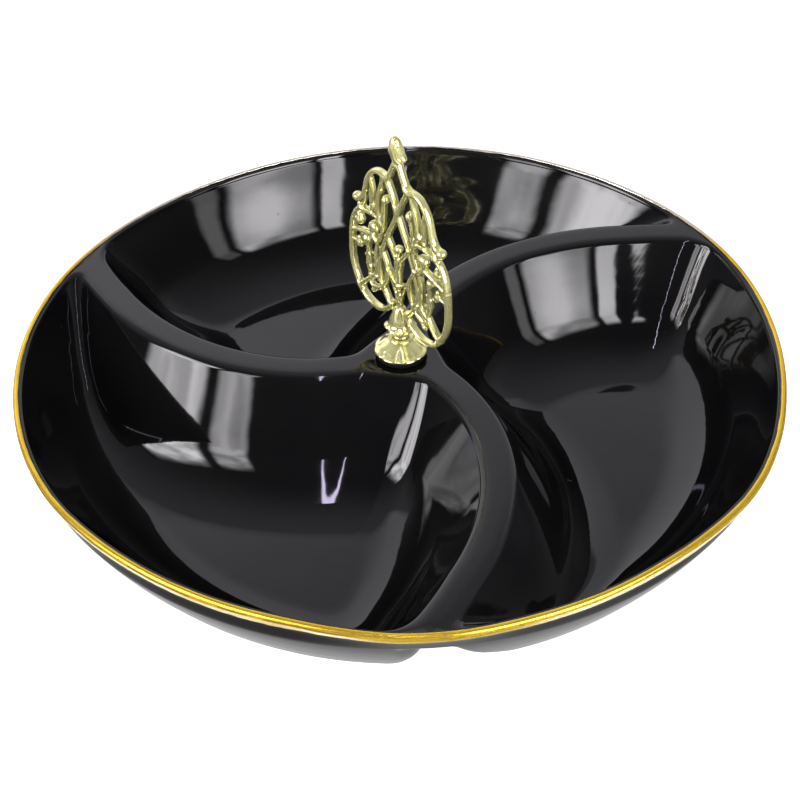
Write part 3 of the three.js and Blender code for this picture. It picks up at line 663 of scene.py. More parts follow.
def panel_field(h):
    a = np.arange(-26.4, 26.4 + h, h)
    u = np.arange(9.4, 76.0, h)
    n = np.arange(-2.5, 2.5 + h, h)
    field = np.full((len(a), len(u), len(n)), 9.0, np.float32)

    def blend(d, i0, i1, j0, j1, k):
        old = field[i0:i1, j0:j1]
        t = np.maximum(k - np.abs(old - d), 0) / k
        field[i0:i1, j0:j1] = np.minimum(old, d) - t * t * k / 4

    def window(lo, hi):
        i0, i1 = np.searchsorted(a, [lo[0], hi[0]])
        j0, j1 = np.searchsorted(u, [lo[1], hi[1]])
        return i0, i1, j0, j1

    def strand(path, width, thick):
        p = spline(path, 0.7)
        t = np.linspace(0, 1, len(p))
        w = np.interp(t, [0, 0.5, 1], width)
        w = np.where(
            t < 0.5,
            width[0] + (width[1] - width[0]) * smooth(0, 0.5, t),
            width[1] + (width[2] - width[1]) * smooth(0.5, 1, t),
        )
        i0, i1, j0, j1 = window(p.min(0) - 3.6, p.max(0) + 3.6)
        ga, gu = np.meshgrid(a[i0:i1], u[j0:j1], indexing="ij")
        best = np.full(ga.shape, 1e9)
        wide = np.zeros(ga.shape)
        for q in range(len(p) - 1):
            e = p[q + 1] - p[q]
            s = np.clip(
                ((ga - p[q, 0]) * e[0] + (gu - p[q, 1]) * e[1]) / max(1e-9, (e**2).sum()), 0, 1
            )
            d = np.hypot(ga - p[q, 0] - s * e[0], gu - p[q, 1] - s * e[1])
            hit = d < best
            best = np.where(hit, d, best)
            wide = np.where(hit, w[q] + s * (w[q + 1] - w[q]), wide)
        # domed flat sides with rounded edges
        wide = 0.80 * np.maximum(wide, 0.3)
        thick = 0.88 * thick
        q1 = (best / wide)[:, :, None] ** 2.7
        q2 = (np.abs(n) / thick)[None, None, :] ** 2.7
        d = ((q1 + q2) ** (1 / 2.7) - 1) * np.minimum(wide, thick)[:, :, None]
        blend(d.astype(np.float32), i0, i1, j0, j1, 0.5)

    def bead(x, y, r, off=0.0, soft=0.45):
        i0, i1, j0, j1 = window((x - r - 2, y - r - 2), (x + r + 2, y + r + 2))
        d = (
            np.sqrt(
                (a[i0:i1, None, None] - x) ** 2
                + (u[None, j0:j1, None] - y) ** 2
                + (np.abs(n)[None, None, :] - off) ** 2
            )
            - r
        )
        blend(d.astype(np.float32), i0, i1, j0, j1, soft)

    for path, width, thick in STRANDS:
        strand(path, width, thick)
        strand([(-x, y) for x, y in path], width, thick)
    for path, width, thick in CENTRE:
        strand(path, width, thick)
    for x, y, r in BEADS:
        bead(x, y, r, 0.0, 1.3)
        bead(-x, y, r, 0.0, 1.3)
    for x, y, r in CENTRE_BEADS:
        bead(x, y, r)
    for x, y, r, off in GRAINS:
        bead(x, y, r, off, 0.2)
        bead(-x, y, r, off, 0.2)
    return field, (a, u, n)


def settle(field):
    """Fill the few grid corners where two sheets would touch along one edge."""
    for _ in range(20):
        found = 0
        for axis in range(3):
            f = np.moveaxis(field, axis, 0)
            m = f < 0
            p, q, r, t = m[:, :-1, :-1], m[:, 1:, :-1], m[:, :-1, 1:], m[:, 1:, 1:]
            for i, j, k in np.argwhere((p == t) & (q == r) & (p != q)):
                if p[i, j, k]:
                    f[i, j + 1, k] = -0.02
                else:
                    f[i, j, k] = -0.02
                found += 1
        if not found:
            break


def surface_nets(field, axes):
    """Closed quad mesh of the zero level of a field on a grid."""
    neg = field < 0
    c = [
        neg[i : neg.shape[0] - 1 + i, j : neg.shape[1] - 1 + j, k : neg.shape[2] - 1 + k]
        for i in (0, 1)
        for j in (0, 1)
        for k in (0, 1)
    ]
    some = np.zeros(c[0].shape, bool)
    every = np.ones(c[0].shape, bool)
    for x in c:
        some |= x
        every &= x
    cell = some & ~every
    at = np.argwhere(cell)
    index = np.full(cell.shape, -1, np.int64)
    index[cell] = np.arange(len(at))
    total = np.zeros((len(at), 3))
    count = np.zeros(len(at))
    corner = [(i, j, k) for i in (0, 1) for j in (0, 1) for k in (0, 1)]
    val = {
        q: field[at[:, 0] + q[0], at[:, 1] + q[1], at[:, 2] + q[2]].astype(float) for q in corner
    }
    for p in corner:
        for axis in range(3):
            if p[axis]:
                continue
            q = tuple(1 if m == axis else p[m] for m in range(3))
            f0, f1 = val[p], val[q]
            cut = (f0 < 0) != (f1 < 0)
            t = f0[cut] / (f0[cut] - f1[cut])
            pos = np.tile(np.array(p, float), (cut.sum(), 1))
            pos[:, axis] += t
            total[cut] += pos
            count[cut] += 1
    pos = at + total / count[:, None]
    step = [ax[1] - ax[0] for ax in axes]
    verts = np.stack([axes[m][0] + pos[:, m] * step[m] for m in range(3)], 1)
    quads = []
    for axis in range(3):
        o1, o2 = [(1, 2), (2, 0), (0, 1)][axis]
        lo = [slice(None)] * 3
        hi = [slice(None)] * 3
        lo[axis], hi[axis] = slice(0, -1), slice(1, None)
        s0, s1 = neg[tuple(lo)], neg[tuple(hi)]
        e = np.argwhere(s0 != s1)
        e = e[(e[:, o1] > 0) & (e[:, o2] > 0) & (e[:, o1] < neg.shape[o1] - 1) & (e[:, o2] < neg.shape[o2] - 1)]
        inside = s0[e[:, 0], e[:, 1], e[:, 2]]

        def cell_at(d1, d2):
            q = e.copy()
            q[:, o1] -= d1
            q[:, o2] -= d2
            return index[q[:, 0], q[:, 1], q[:, 2]]

        ring = np.stack([cell_at(1, 1), cell_at(0, 1), cell_at(0, 0), cell_at(1, 0)], 1)
        ring[~inside] = ring[~inside][:, ::-1]
        quads.append(ring)
    return verts, np.vstack(quads)


def relax(verts, quads, rounds):
    """Evens out the net without shrinking it."""
    i = np.concatenate([quads[:, k] for k in range(4)])
    j = np.concatenate([quads[:, (k + 1) % 4] for k in range(4)])
    for n in range(rounds):
        for f in (0.52, -0.54):
            add = np.zeros_like(verts)
            cnt = np.zeros(len(verts))
            np.add.at(add, i, verts[j])
            np.add.at(add, j, verts[i])
            np.add.at(cnt, i, 1)
            np.add.at(cnt, j, 1)
            verts = verts + f * (add / cnt[:, None] - verts)
    return verts


def to_panel(verts):
    """Panel coordinates (along, up, across) to the dish frame."""
    c, s = math.cos(rad(HANDLE_DEG)), math.sin(rad(HANDLE_DEG))
    a, u, n = verts[:, 0], verts[:, 1], verts[:, 2]
    return np.stack([c * a - s * n, s * a + c * n, u + RIM_PLANE], 1)


# ---- turned and cast pieces of the handle -------------------------------------------
def rosette_shell():
    z0 = 41.4
    outer = spline(
        [(8.1, 0), (8.55, 0.1), (8.8, 0.45), (8.65, 0.85), (8.25, 1.08), (7.6, 1.36), (6.3, 2.35), (4.7, 3.4), (3.75, 4.1), (3.35, 4.5), (3.5, 4.75), (4.1, 4.95), (4.2, 5.2), (4.05, 5.45), (3.5, 5.55)],
        0.16,
    )
    prof = [(2.15, z0 + 0.2), (2.4, z0)] + [(r, z0 + z) for r, z in outer]
    prof += [(2.5, z0 + 5.6), (2.15, z0 + 5.4)]

    def shape(th, r, z):
        ph = th - rad(-96 + 22.5)
        lobe = np.abs(np.cos(4 * ph))
        low = 1 - smooth(2.6, 4.3, z - z0)
        k = 1 - low * smooth(3.4, 8.7, r) * 0.052 * (1 - lobe**0.55)
        return r * k, z - low * smooth(3.6, 6.5, r) * 0.16 * (1 - lobe**0.5) * smooth(0.3, 1.1, z - z0)

    return lathe(prof, 288, shape, closed=True)


def bell_shell():
    z0 = 47.3
    outer = spline(
        [(2.75, 0), (2.72, 1.2), (2.75, 2.3), (3.2, 2.7), (4.2, 3.1), (4.8, 3.45), (5.0, 3.9), (4.75, 4.35), (4.25, 4.65), (3.95, 5.1), (3.7, 6.0), (3.3, 7.4), (2.75, 9.0), (2.2, 10.4), (1.65, 11.3), (0.9, 11.8)],
        0.14,
    )
    prof = [(0, z0 + 7.9), (1.2, z0 + 7.8), (2.15, z0 + 7.4), (2.15, z0 + 0.3), (2.4, z0)]
    prof += [(r, z0 + z) for r, z in outer] + [(0, z0 + 11.9)]

    def shape(th, r, z):
        if r <= 2.41 and z < z0 + 8:
            return r, z
        ph = th - rad(-63.5)
        lobe = np.abs(np.cos(3 * ph))
        h = z - z0
        lip = math.exp(-(((h - 4.0) / 0.95) ** 2))
        body = float(smooth(4.6, 6.0, h) * (1 - 0.5 * smooth(9.5, 11.8, h)))
        k = 1 + lip * (0.075 * lobe**0.7 - 0.10 * (1 - lobe) ** 2) - body * 0.055 * (1 - lobe**0.8)
        return r * k, z + lip * 0.25 * (lobe - 0.5)

    return lathe(prof, 288, shape)


def finial_shell():
    """Folded bud, bent a little to one side."""
    z0 = 113.1
    outer = spline(
        [(1.45, 0), (1.75, 0.25), (2.02, 0.95), (2.22, 2.1), (2.32, 3.4), (2.3, 4.7), (2.18, 6.0), (1.95, 7.2), (1.55, 8.35), (0.95, 9.15), (0.4, 9.5)],
        0.1,
    )
    prof = [(0, z0 + 3.7), (0.8, z0 + 3.65), (1.1, z0 + 3.4), (1.1, z0 + 0.15), (1.25, z0)]
    prof += [(r, z0 + z) for r, z in outer] + [(0, z0 + 9.55)]

    def folds(phi, h):
        """Petal edges nested one inside the other round a point low on the face."""
        s = 2.1 * phi - 1.0
        rho = np.hypot(s, (h - 4.4) * 0.55)
        wave = (np.cos(2 * math.pi * rho / 0.78) - 1) / 2
        return wave * smooth(0.0, -0.5, s) * smooth(0.4, 0.8, rho) * (1 - smooth(2.2, 2.7, rho))

    def wrap(a):
        return np.arctan2(np.sin(a), np.cos(a))

    def shape(th, r, z):
        h = z - z0
        if r <= 1.26 and h < 4:
            return r, z
        front, back = wrap(th + math.pi / 2), wrap(th - math.pi / 2)
        grow = float(smooth(0.1, 0.9, h) * (1 - smooth(8.0, 9.4, h)))
        d = 0.34 * (folds(front, h) + folds(back, h))
        d = d + 0.42 * np.exp(-(((front + 1.65) / 0.36) ** 2) - ((h - 4.2) / 1.6) ** 2)
        d = d + 0.75 * np.exp(-(((front - 0.95) / 0.6) ** 2) - ((h - 1.8) / 1.15) ** 2)
        d = d + 0.35 * np.exp(-((wrap(front + 2.6) / 0.6) ** 2) - ((h - 2.4) / 1.5) ** 2)
        return r + grow * d, z

    s = lathe(prof, 240, shape)
    v = s.verts()
    h = v[:, 2] - z0
    free = (np.hypot(v[:, 0], v[:, 1]) > 1.3) | (h > 4)
    v[:, 0] += np.where(free, 0.42 - 1.15 * smooth(0.0, 9.5, h), 0.0)
    s.v = [v]
    return s


def ring_shell(r0, r1, z0, z1, edge, count, bulge=0.0, step=None):
    """Flat ring with rounded edges and, if soft, a bulged outer side."""
    pts = []
    for cx, cz, a0 in (
        (r1 - edge, z0 + edge, -90),
        (r1 - edge, z1 - edge, 0),
        (r0 + edge, z1 - edge, 90),
        (r0 + edge, z0 + edge, 180),
    ):
        for i in range(6):
            a = rad(a0 + 90 * i / 5)
            pts.append((cx + edge * math.cos(a), cz + edge * math.sin(a)))
        if a0 == -90 and z1 - z0 > 2 * edge + 0.05:
            for t in (0.25, 0.5, 0.75):
                pts.append((r1 + bulge * math.sin(math.pi * t), z0 + edge + t * (z1 - z0 - 2 * edge)))
    return lathe(pts, count, step, closed=True)


def screw_shell():
    s = Shell()
    n = 96
    th = np.arange(n) * 2 * math.pi / n
    z0 = 25.7
    rings = []
    # underside of the pan head with a cross recess
    tip = s.add([[0, 0, z0 + 1.75]])[0]
    dome = spline([(0.0, 0.0), (1.6, 0.05), (2.6, 0.22), (3.4, 0.62), (3.85, 1.2), (4.0, 1.9)], 0.12)
    for r, z in dome[1:]:
        x, y = r * np.cos(th - rad(10)), r * np.sin(th - rad(10))
        arm = np.minimum(np.abs(x), np.abs(y))
        deep = (1 - smooth(0.30, 0.52, arm)) * (1 - smooth(1.9, 2.35, r)) * (1.55 - 0.35 * r)
        core = (1 - smooth(0.8, 1.15, r)) * 1.45
        zz = z0 + z + np.maximum(deep, core)
        rings.append(s.add(np.stack([r * np.cos(th), r * np.sin(th), zz], 1)))
    for r, z in ((4.0, 2.6), (3.9, 2.85), (3.6, 2.9), (2.2, 2.9), (1.95, 3.1)):
        rings.append(s.add(np.stack([r * np.cos(th), r * np.sin(th), 0 * th + z0 + z], 1)))
    # threaded shank
    pitch = 0.7
    for z in np.arange(29.2, 54.25, 0.14):
        u = (z / pitch - th / (2 * math.pi)) % 1.0
        tooth = 1 - np.abs(2 * u - 1)
        grow = float(smooth(29.2, 31.5, z))
        r = 1.95 - grow * 0.42 * (1 - smooth(0.15, 0.85, tooth))
        rings.append(s.add(np.stack([r * np.cos(th), r * np.sin(th), 0 * th + z], 1)))
    for r, z in ((1.5, 54.5), (1.2, 54.7)):
        rings.append(s.add(np.stack([r * np.cos(th), r * np.sin(th), 0 * th + z], 1)))
    end = s.add([[0, 0, 54.7]])[0]
    s.fan(rings[0], tip, flip=True)
    for a, b in zip(rings, rings[1:]):
        s.band(a, b)
    s.fan(rings[-1], end)
    return s


# ---- materials ------------------------------------------------------------------------
class Graph:
    """A material's nodes, built with short calls. A value that is a socket is linked."""

    def __init__(self, name):
        self.m = bpy.data.materials.new(name)
        self.m.use_nodes = True
        self.t = self.m.node_tree
        self.t.nodes.clear()
        self.out = self.t.nodes.new("ShaderNodeOutputMaterial")
        self.bsdf = self.t.nodes.new("ShaderNodeBsdfPrincipled")
        self.t.links.new(self.bsdf.outputs[0], self.out.inputs[0])
        c = self.t.nodes.new("ShaderNodeTexCoord")
        self.mm = self.vec("SCALE", c.outputs["Object"], scale=1000.0)
        sep = self.node("ShaderNodeSeparateXYZ", {0: self.mm})
        self.x, self.y, self.z = sep.outputs

    def set(self, where, value):
        if isinstance(value, bpy.types.NodeSocket):
            self.t.links.new(value, where)
        else:
            where.default_value = value

    def node(self, kind, inputs=None, **attrs):
        n = self.t.nodes.new(kind)
        for k, v in attrs.items():
            setattr(n, k, v)
        for k, v in (inputs or {}).items():
            self.set(n.inputs[k], v)
        return n

    def vec(self, op, a, b=None, scale=None):
        n = self.node("ShaderNodeVectorMath", {0: a}, operation=op)
        if b is not None:
            self.set(n.inputs[1], b)
        if scale is not None:
            self.set(n.inputs["Scale"], scale)
        return n.outputs[0]

    def math(self, op, a, b=None, c=None, clamp=False):
        n = self.node("ShaderNodeMath", {0: a}, operation=op, use_clamp=clamp)
        if b is not None:
            self.set(n.inputs[1], b)
        if c is not None:
            self.set(n.inputs[2], c)
        return n.outputs[0]

    def noise(self, scale, detail=2.0, rough=0.5, at=None, distort=0.0):
        n = self.node(
            "ShaderNodeTexNoise",
            {"Vector": at or self.mm, "Scale": scale, "Detail": detail, "Roughness": rough, "Distortion": distort},
        )
        return n.outputs["Fac"]

    def spots(self, scale, size, share, at=None):
        """Scattered round specks: size is their radius in cells, share how many cells have one."""
        n = self.node("ShaderNodeTexVoronoi", {"Vector": at or self.mm, "Scale": scale})
        near = self.ramp(n.outputs["Distance"], size, size * 0.55)
        pick = self.node("ShaderNodeSeparateColor", {0: n.outputs["Color"]}).outputs[0]
        return self.math("MULTIPLY", near, self.math("LESS_THAN", pick, share))

    def ramp(self, x, lo, hi, a=0.0, b=1.0, soft=True):
        n = self.node(
            "ShaderNodeMapRange",
            {"Value": x, "From Min": lo, "From Max": hi, "To Min": a, "To Max": b},
            interpolation_type="SMOOTHSTEP" if soft else "LINEAR",
        )
        return n.outputs[0]

    def mix(self, fac, a, b):
        n = self.node("ShaderNodeMix", data_type="RGBA")
        self.set(n.inputs[0], fac)
        self.set(n.inputs[6], a)
        self.set(n.inputs[7], b)
        return n.outputs[2]

    def bump(self, height, distance, strength=1.0, normal=None):
        n = self.node("ShaderNodeBump", {"Strength": strength, "Distance": distance, "Height": height})
        if normal is not None:
            self.set(n.inputs["Normal"], normal)
        return n.outputs[0]

    def finish(self, **inputs):
        for k, v in inputs.items():
            self.set(self.bsdf.inputs[k.replace("_", " ")], v)
        return self.m


def rgb(r, g, b):
    return (r, g, b, 1.0)


def glaze():
    g = Graph("glaze_black")
    cloud = g.noise(0.035, 3.0)
    smear = g.ramp(g.noise(0.11, 4.0, 0.6, distort=1.2), 0.56, 0.78)
    dust = g.math("MAXIMUM", g.spots(0.12, 0.020, 0.30), g.spots(0.31, 0.026, 0.10))
    pin = g.spots(0.085, 0.030, 0.35)
    # bare clay where the feet were wiped before firing
    edge = g.math("ADD", g.z, g.math("MULTIPLY", g.math("SUBTRACT", g.noise(0.22, 4.0), 0.5), 0.9))
    foot = g.ramp(edge, 0.75, 0.55)
    grit = g.noise(1.6, 5.0, 0.7)
    clay = g.mix(grit, rgb(0.42, 0.36, 0.28), rgb(0.66, 0.60, 0.50))
    black = g.mix(g.ramp(cloud, 0.3, 0.7), rgb(0.0026, 0.0026, 0.0030), rgb(0.0046, 0.0043, 0.0043))
    black = g.mix(g.math("MULTIPLY", dust, 0.8), black, rgb(0.34, 0.34, 0.36))
    rough = g.math("ADD", g.ramp(cloud, 0.25, 0.75, 0.030, 0.050), g.math("MULTIPLY", smear, 0.025))
    rough = g.math("ADD", rough, g.math("MULTIPLY", dust, 0.5))
    rough = g.math("ADD", rough, g.math("MULTIPLY", foot, 0.8), clamp=True)
    peel = g.bump(g.noise(0.075, 2.0), 0.000036)
    peel = g.bump(g.noise(0.6, 2.0), 0.0000007, normal=peel)
    peel = g.bump(g.math("SUBTRACT", dust, pin), 0.00004, 0.6, normal=peel)
    peel = g.bump(g.math("MULTIPLY", grit, foot), 0.00012, 1.0, normal=peel)
    return g.finish(
        Base_Color=g.mix(foot, black, clay), Roughness=rough, IOR=1.5, Normal=peel
    )


def lustre():
    g = Graph("gold_lustre")
    ang = g.math("ARCTAN2", g.y, g.x)
    arc = g.math("MULTIPLY", ang, 125.0)
    rad_ = g.math("SQRT", g.math("ADD", g.math("MULTIPLY", g.x, g.x), g.math("MULTIPLY", g.y, g.y)))

    def brushed(long, across):
        v = g.node("ShaderNodeCombineXYZ", {0: g.math("DIVIDE", arc, long), 1: g.math("DIVIDE", rad_, across), 2: g.math("DIVIDE", g.z, across)})
        return v.outputs[0]

    strokes = g.noise(1.0, 3.0, 0.6, at=brushed(9.0, 0.35))
    patch = g.noise(0.06, 2.0)
    # hairlines rubbed bare on the outer side, in runs; a longer dark line runs along the middle of the band at the
    # front left
    thin = g.ramp(g.noise(1.0, 2.0, 0.5, at=brushed(7.0, 0.20)), 0.595, 0.65)
    dash = g.math("MULTIPLY", thin, g.ramp(g.noise(0.045, 1.0), 0.46, 0.58))
    sway = g.math("ADD", g.z, g.math("MULTIPLY", g.math("SUBTRACT", g.noise(0.05, 3.0, 0.6), 0.5), 1.3))
    off = g.math("ABSOLUTE", g.math("SUBTRACT", sway, 38.95))
    line = g.math("MULTIPLY", g.ramp(off, 0.34, 0.18), g.ramp(g.noise(0.09, 2.0), 0.36, 0.44))
    line = g.math("MULTIPLY", line, g.math("MULTIPLY", g.ramp(g.x, 0.0, -22.0), g.ramp(g.y, -20.0, -60.0)))
    dash = g.math("MAXIMUM", dash, line)
    side = g.math("MULTIPLY", g.ramp(g.z, 39.7, 39.2), g.ramp(g.z, 36.4, 36.9))
    bare = g.math("MULTIPLY", side, dash)
    fleck = g.spots(0.5, 0.09, 0.12)
    bare = g.math("MULTIPLY", g.math("MAXIMUM", bare, fleck), 0.85)
    gold = g.mix(strokes, rgb(0.74, 0.45, 0.022), rgb(0.93, 0.62, 0.055))
    gold = g.mix(g.math("MULTIPLY", g.ramp(patch, 0.35, 0.7), 0.7), gold, rgb(0.95, 0.70, 0.07))
    # painted highlight: paler and less metallic towards its lower edge at the front, standing in for a whitish
    # reflection there
    low = g.math("MULTIPLY", g.ramp(sway, 38.75, 38.35), g.ramp(g.noise(0.02, 2.0), 0.34, 0.52))
    low = g.math("MULTIPLY", low, g.ramp(g.math("ABSOLUTE", g.math("SUBTRACT", g.x, 12.0)), 14.0, 36.0))
    gold = g.mix(g.math("MULTIPLY", low, 0.8), gold, rgb(0.97, 0.90, 0.66))
    # painted reflection: paler and greyer on the side away from the front, standing in for the white backdrop seen in
    # the gold there
    pale = g.ramp(g.math("ADD", g.y, g.math("MULTIPLY", g.noise(0.03, 2.0), 16.0)), 58.0, 92.0)
    gold = g.mix(pale, gold, g.mix(strokes, rgb(0.80, 0.74, 0.62), rgb(0.94, 0.90, 0.80)))
    return g.finish(
        Base_Color=g.mix(bare, gold, rgb(0.02, 0.012, 0.006)),
        # the painted highlight at the lower edge also lowers the metallic share
        Metallic=g.math("MULTIPLY", g.math("SUBTRACT", 1.0, bare), g.math("SUBTRACT", 0.82, g.math("MULTIPLY", low, 0.45))),
        Roughness=g.ramp(strokes, 0.3, 0.75, 0.28, 0.20),
        Normal=g.bump(strokes, 0.00001, 0.5),
    )


def champagne():
    g = Graph("pale_gold_plate")
    cast = g.noise(0.55, 4.0, 0.6)
    fine = g.noise(3.2, 3.0, 0.6)
    tarnish = g.ramp(g.noise(0.16, 3.0), 0.45, 0.75)
    # painted shade: the plate's colour turns olive-brown where ambient occlusion finds crevices and inner sides
    ao = g.node("ShaderNodeAmbientOcclusion", {"Distance": 0.0032}, samples=8).outputs["AO"]
    deep = g.ramp(ao, 0.8, 0.25)
    gold = g.mix(cast, rgb(0.94, 0.91, 0.37), rgb(0.99, 0.97, 0.47))
    gold = g.mix(g.math("MULTIPLY", tarnish, 0.35), gold, rgb(0.80, 0.70, 0.25))
    gold = g.mix(g.math("MULTIPLY", deep, 0.85), gold, rgb(0.33, 0.24, 0.03))
    rough = g.math("ADD", g.ramp(cast, 0.3, 0.7, 0.15, 0.20), g.math("MULTIPLY", tarnish, 0.05))
    return g.finish(
        Base_Color=gold,
        Metallic=0.78,
        Roughness=rough,
        Coat_Weight=0.8,
        Coat_Roughness=0.12,
        Normal=g.bump(fine, 0.000002, 0.3, normal=g.bump(cast, 0.000006, 0.4)),
    )


def rubber():
    g = Graph("black_rubber")
    a = g.noise(0.7, 4.0)
    b = g.noise(6.0, 2.0)
    return g.finish(
        Base_Color=g.mix(a, rgb(0.003, 0.003, 0.003), rgb(0.009, 0.008, 0.008)),
        Roughness=g.ramp(b, 0.3, 0.7, 0.55, 0.8),
        Specular_IOR_Level=0.08,
        Normal=g.bump(b, 0.00003, 0.6),
    )


def zinc():
    g = Graph("zinc_plated_steel")
    rad_ = g.math("SQRT", g.math("ADD", g.math("MULTIPLY", g.x, g.x), g.math("MULTIPLY", g.y, g.y)))
    v = g.node("ShaderNodeCombineXYZ", {0: g.math("MULTIPLY", rad_, 6.0), 1: g.math("MULTIPLY", g.z, 6.0)}).outputs[0]
    turned = g.noise(1.0, 2.0, at=v)
    stain = g.noise(0.35, 4.0, 0.65)
    return g.finish(
        Base_Color=g.mix(stain, rgb(0.42, 0.42, 0.43), rgb(0.70, 0.70, 0.71)),
        Metallic=1.0,
        Roughness=g.math("ADD", g.ramp(turned, 0.3, 0.7, 0.20, 0.36), g.math("MULTIPLY", stain, 0.12)),
        Normal=g.bump(turned, 0.00002, 0.5),
    )


GLAZE, LUSTRE, GOLD, RUBBER, ZINC = glaze(), lustre(), champagne(), rubber(), zinc()

# ---- pieces ------------------------------------------------------------------------------
d = dish_shell()
make("glazed_dish", d.verts(), d.f, GLAZE, "dish", "dish_body", weighted=True)
d = gilding_shell()
make("gilded_lip", d.verts(), d.f, LUSTRE, "dish", "rim_gilding")
d = ring_shell(2.6, 8.3, 39.6, 41.2, 0.35, 144, bulge=0.08)
make("rubber_seat", d.verts(), d.f, RUBBER, "dish", "seat_gasket")
d = ring_shell(2.6, 7.0, 30.2, 31.8, 0.35, 144, bulge=0.08)
make("rubber_underseat", d.verts(), d.f, RUBBER, "dish", "lower_gasket")
d = rosette_shell()
make("cast_rosette", d.verts(), d.f, GOLD, "handle", "base_rosette")
d = bell_shell()
make("cast_bell", d.verts(), d.f, GOLD, "handle", "bell_calyx")
field, axes = panel_field(0.258)
settle(field)
v, q = surface_nets(field, axes)
v = relax(v, q, 4)
make("cast_openwork", to_panel(v), q[:, ::-1], GOLD, "handle", "filigree_panel")
d = finial_shell()
make("cast_bud", d.verts(), d.f, GOLD, "handle", "finial_bud")
d = screw_shell()
make("pan_screw", d.verts(), d.f, ZINC, "handle", "clamp_screw")
d = ring_shell(2.25, 5.5, 28.9, 29.9, 0.18, 128)
make("plain_washer", d.verts(), d.f, ZINC, "handle", "clamp_washer")


# ---- camera ------------------------------------------------------------------------------
def camera():
    el, az, roll = rad(39.8972), rad(0.0724), rad(1.1047)
    back = Vector((math.sin(az) * math.cos(el), -math.cos(az) * math.cos(el), math.sin(el)))
    aim = Vector((-0.000619, -0.015724, 0.032685))
    right = (-back).cross(Vector((0, 0, 1))).normalized()
    up = right.cross(-back)
    x = right * math.cos(roll) - up * math.sin(roll)
    y = right * math.sin(roll) + up * math.cos(roll)
    data = bpy.data.cameras.new("camera")
    data.lens, data.sensor_width = 85.208, 36.0
    data.clip_start, data.clip_end = 0.01, 50.0
    o = bpy.data.objects.new("camera", data)
    m = Matrix((x, y, back)).transposed().to_4x4()
    m.translation = aim + back * 0.613213
    o.matrix_world = m
    bpy.context.scene.collection.objects.link(o)
    bpy.context.scene.camera = o


camera()


# ---- floor and light ------------------------------------------------------------------------
def plane(name, centre, x_axis, y_axis, material):
    c, x, y = Vector(centre), Vector(x_axis), Vector(y_axis)
    me = bpy.data.meshes.new(name)
    me.from_pydata([c - x - y, c + x - y, c + x + y, c - x + y], [], [(0, 1, 2, 3)])
    me.materials.append(material)
    o = bpy.data.objects.new(name, me)
    bpy.context.scene.collection.objects.link(o)
    return o


def floor_material(name, tone, strength):
    g = Graph(name)
    if not isinstance(strength, float):
        far, near = strength
        r2 = g.math("ADD", g.math("MULTIPLY", g.x, g.x), g.math("MULTIPLY", g.y, g.y))
        strength = g.ramp(g.math("SQRT", r2), 146.0, 110.0, far, near)
    g.finish(
        Base_Color=g.mix(g.noise(0.01, 2.0), rgb(tone, tone, tone), rgb(1.05 * tone, 1.05 * tone, 1.05 * tone)),
        Roughness=0.6,
        Specular_IOR_Level=0.2,
        Emission_Color=rgb(1, 1, 1),
        Emission_Strength=strength,
    )
    return g.m


# the lit floor as seen, and the same floor in the dish's own shade for mirror-like reflections
o = plane("floor", (0, 0, -0.0003), (6, 0, 0), (0, 6, 0), floor_material("pale_floor", 0.8, 0.8))
o.visible_glossy = False
o = plane("floor_shade", (0, 0, -0.0002), (6, 0, 0), (0, 6, 0), floor_material("shaded_floor", 0.2, (0.10, 0.52)))
o.visible_camera = o.visible_diffuse = o.visible_shadow = False


def pane_material(name, colour, low, high, fade, lean, blur):
    """Soft light of a window pane: brighter in clouds, fading at its edges."""
    m = bpy.data.materials.new(name)
    m.use_nodes = True
    t = m.node_tree
    t.nodes.clear()
    out = t.nodes.new("ShaderNodeOutputMaterial")
    em = t.nodes.new("ShaderNodeEmission")
    em.inputs["Color"].default_value = (*colour, 1.0)
    co = t.nodes.new("ShaderNodeTexCoord")
    noise = t.nodes.new("ShaderNodeTexNoise")
    noise.inputs["Scale"].default_value = 1.7
    noise.inputs["Detail"].default_value = 2.0
    t.links.new(co.outputs["Object"], noise.inputs["Vector"])
    sky = t.nodes.new("ShaderNodeMapRange")
    sky.interpolation_type = "SMOOTHSTEP"
    for k, v in (("From Min", 0.35), ("From Max", 0.65), ("To Min", low), ("To Max", high)):
        sky.inputs[k].default_value = v
    t.links.new(noise.outputs["Fac"], sky.inputs["Value"])
    sep = t.nodes.new("ShaderNodeSeparateXYZ")
    t.links.new(co.outputs["Generated"], sep.inputs[0])
    edge = t.nodes.new("ShaderNodeMapRange")
    edge.interpolation_type = "SMOOTHSTEP"
    for k, v in (("From Min", 1.0), ("From Max", 1.0 - fade), ("To Min", lean), ("To Max", 1.0)):
        edge.inputs[k].default_value = v
    t.links.new(sep.outputs[1], edge.inputs["Value"])

    def times(a, b):
        mul = t.nodes.new("ShaderNodeMath")
        mul.operation = "MULTIPLY"
        t.links.new(a, mul.inputs[0])
        t.links.new(b, mul.inputs[1])
        return mul.outputs[0]

    def side(at, to):
        n = t.nodes.new("ShaderNodeMapRange")
        n.interpolation_type = "SMOOTHSTEP"
        for k, v in (("From Min", at), ("From Max", to), ("To Min", 0.0), ("To Max", 1.0)):
            n.inputs[k].default_value = v
        t.links.new(sep.outputs[0], n.inputs["Value"])
        return n.outputs[0]

    light = times(sky.outputs[0], edge.outputs[0])
    light = times(light, times(side(0.0, blur), side(1.0, 1.0 - blur)))
    t.links.new(light, em.inputs["Strength"])
    t.links.new(em.outputs[0], out.inputs[0])
    return m


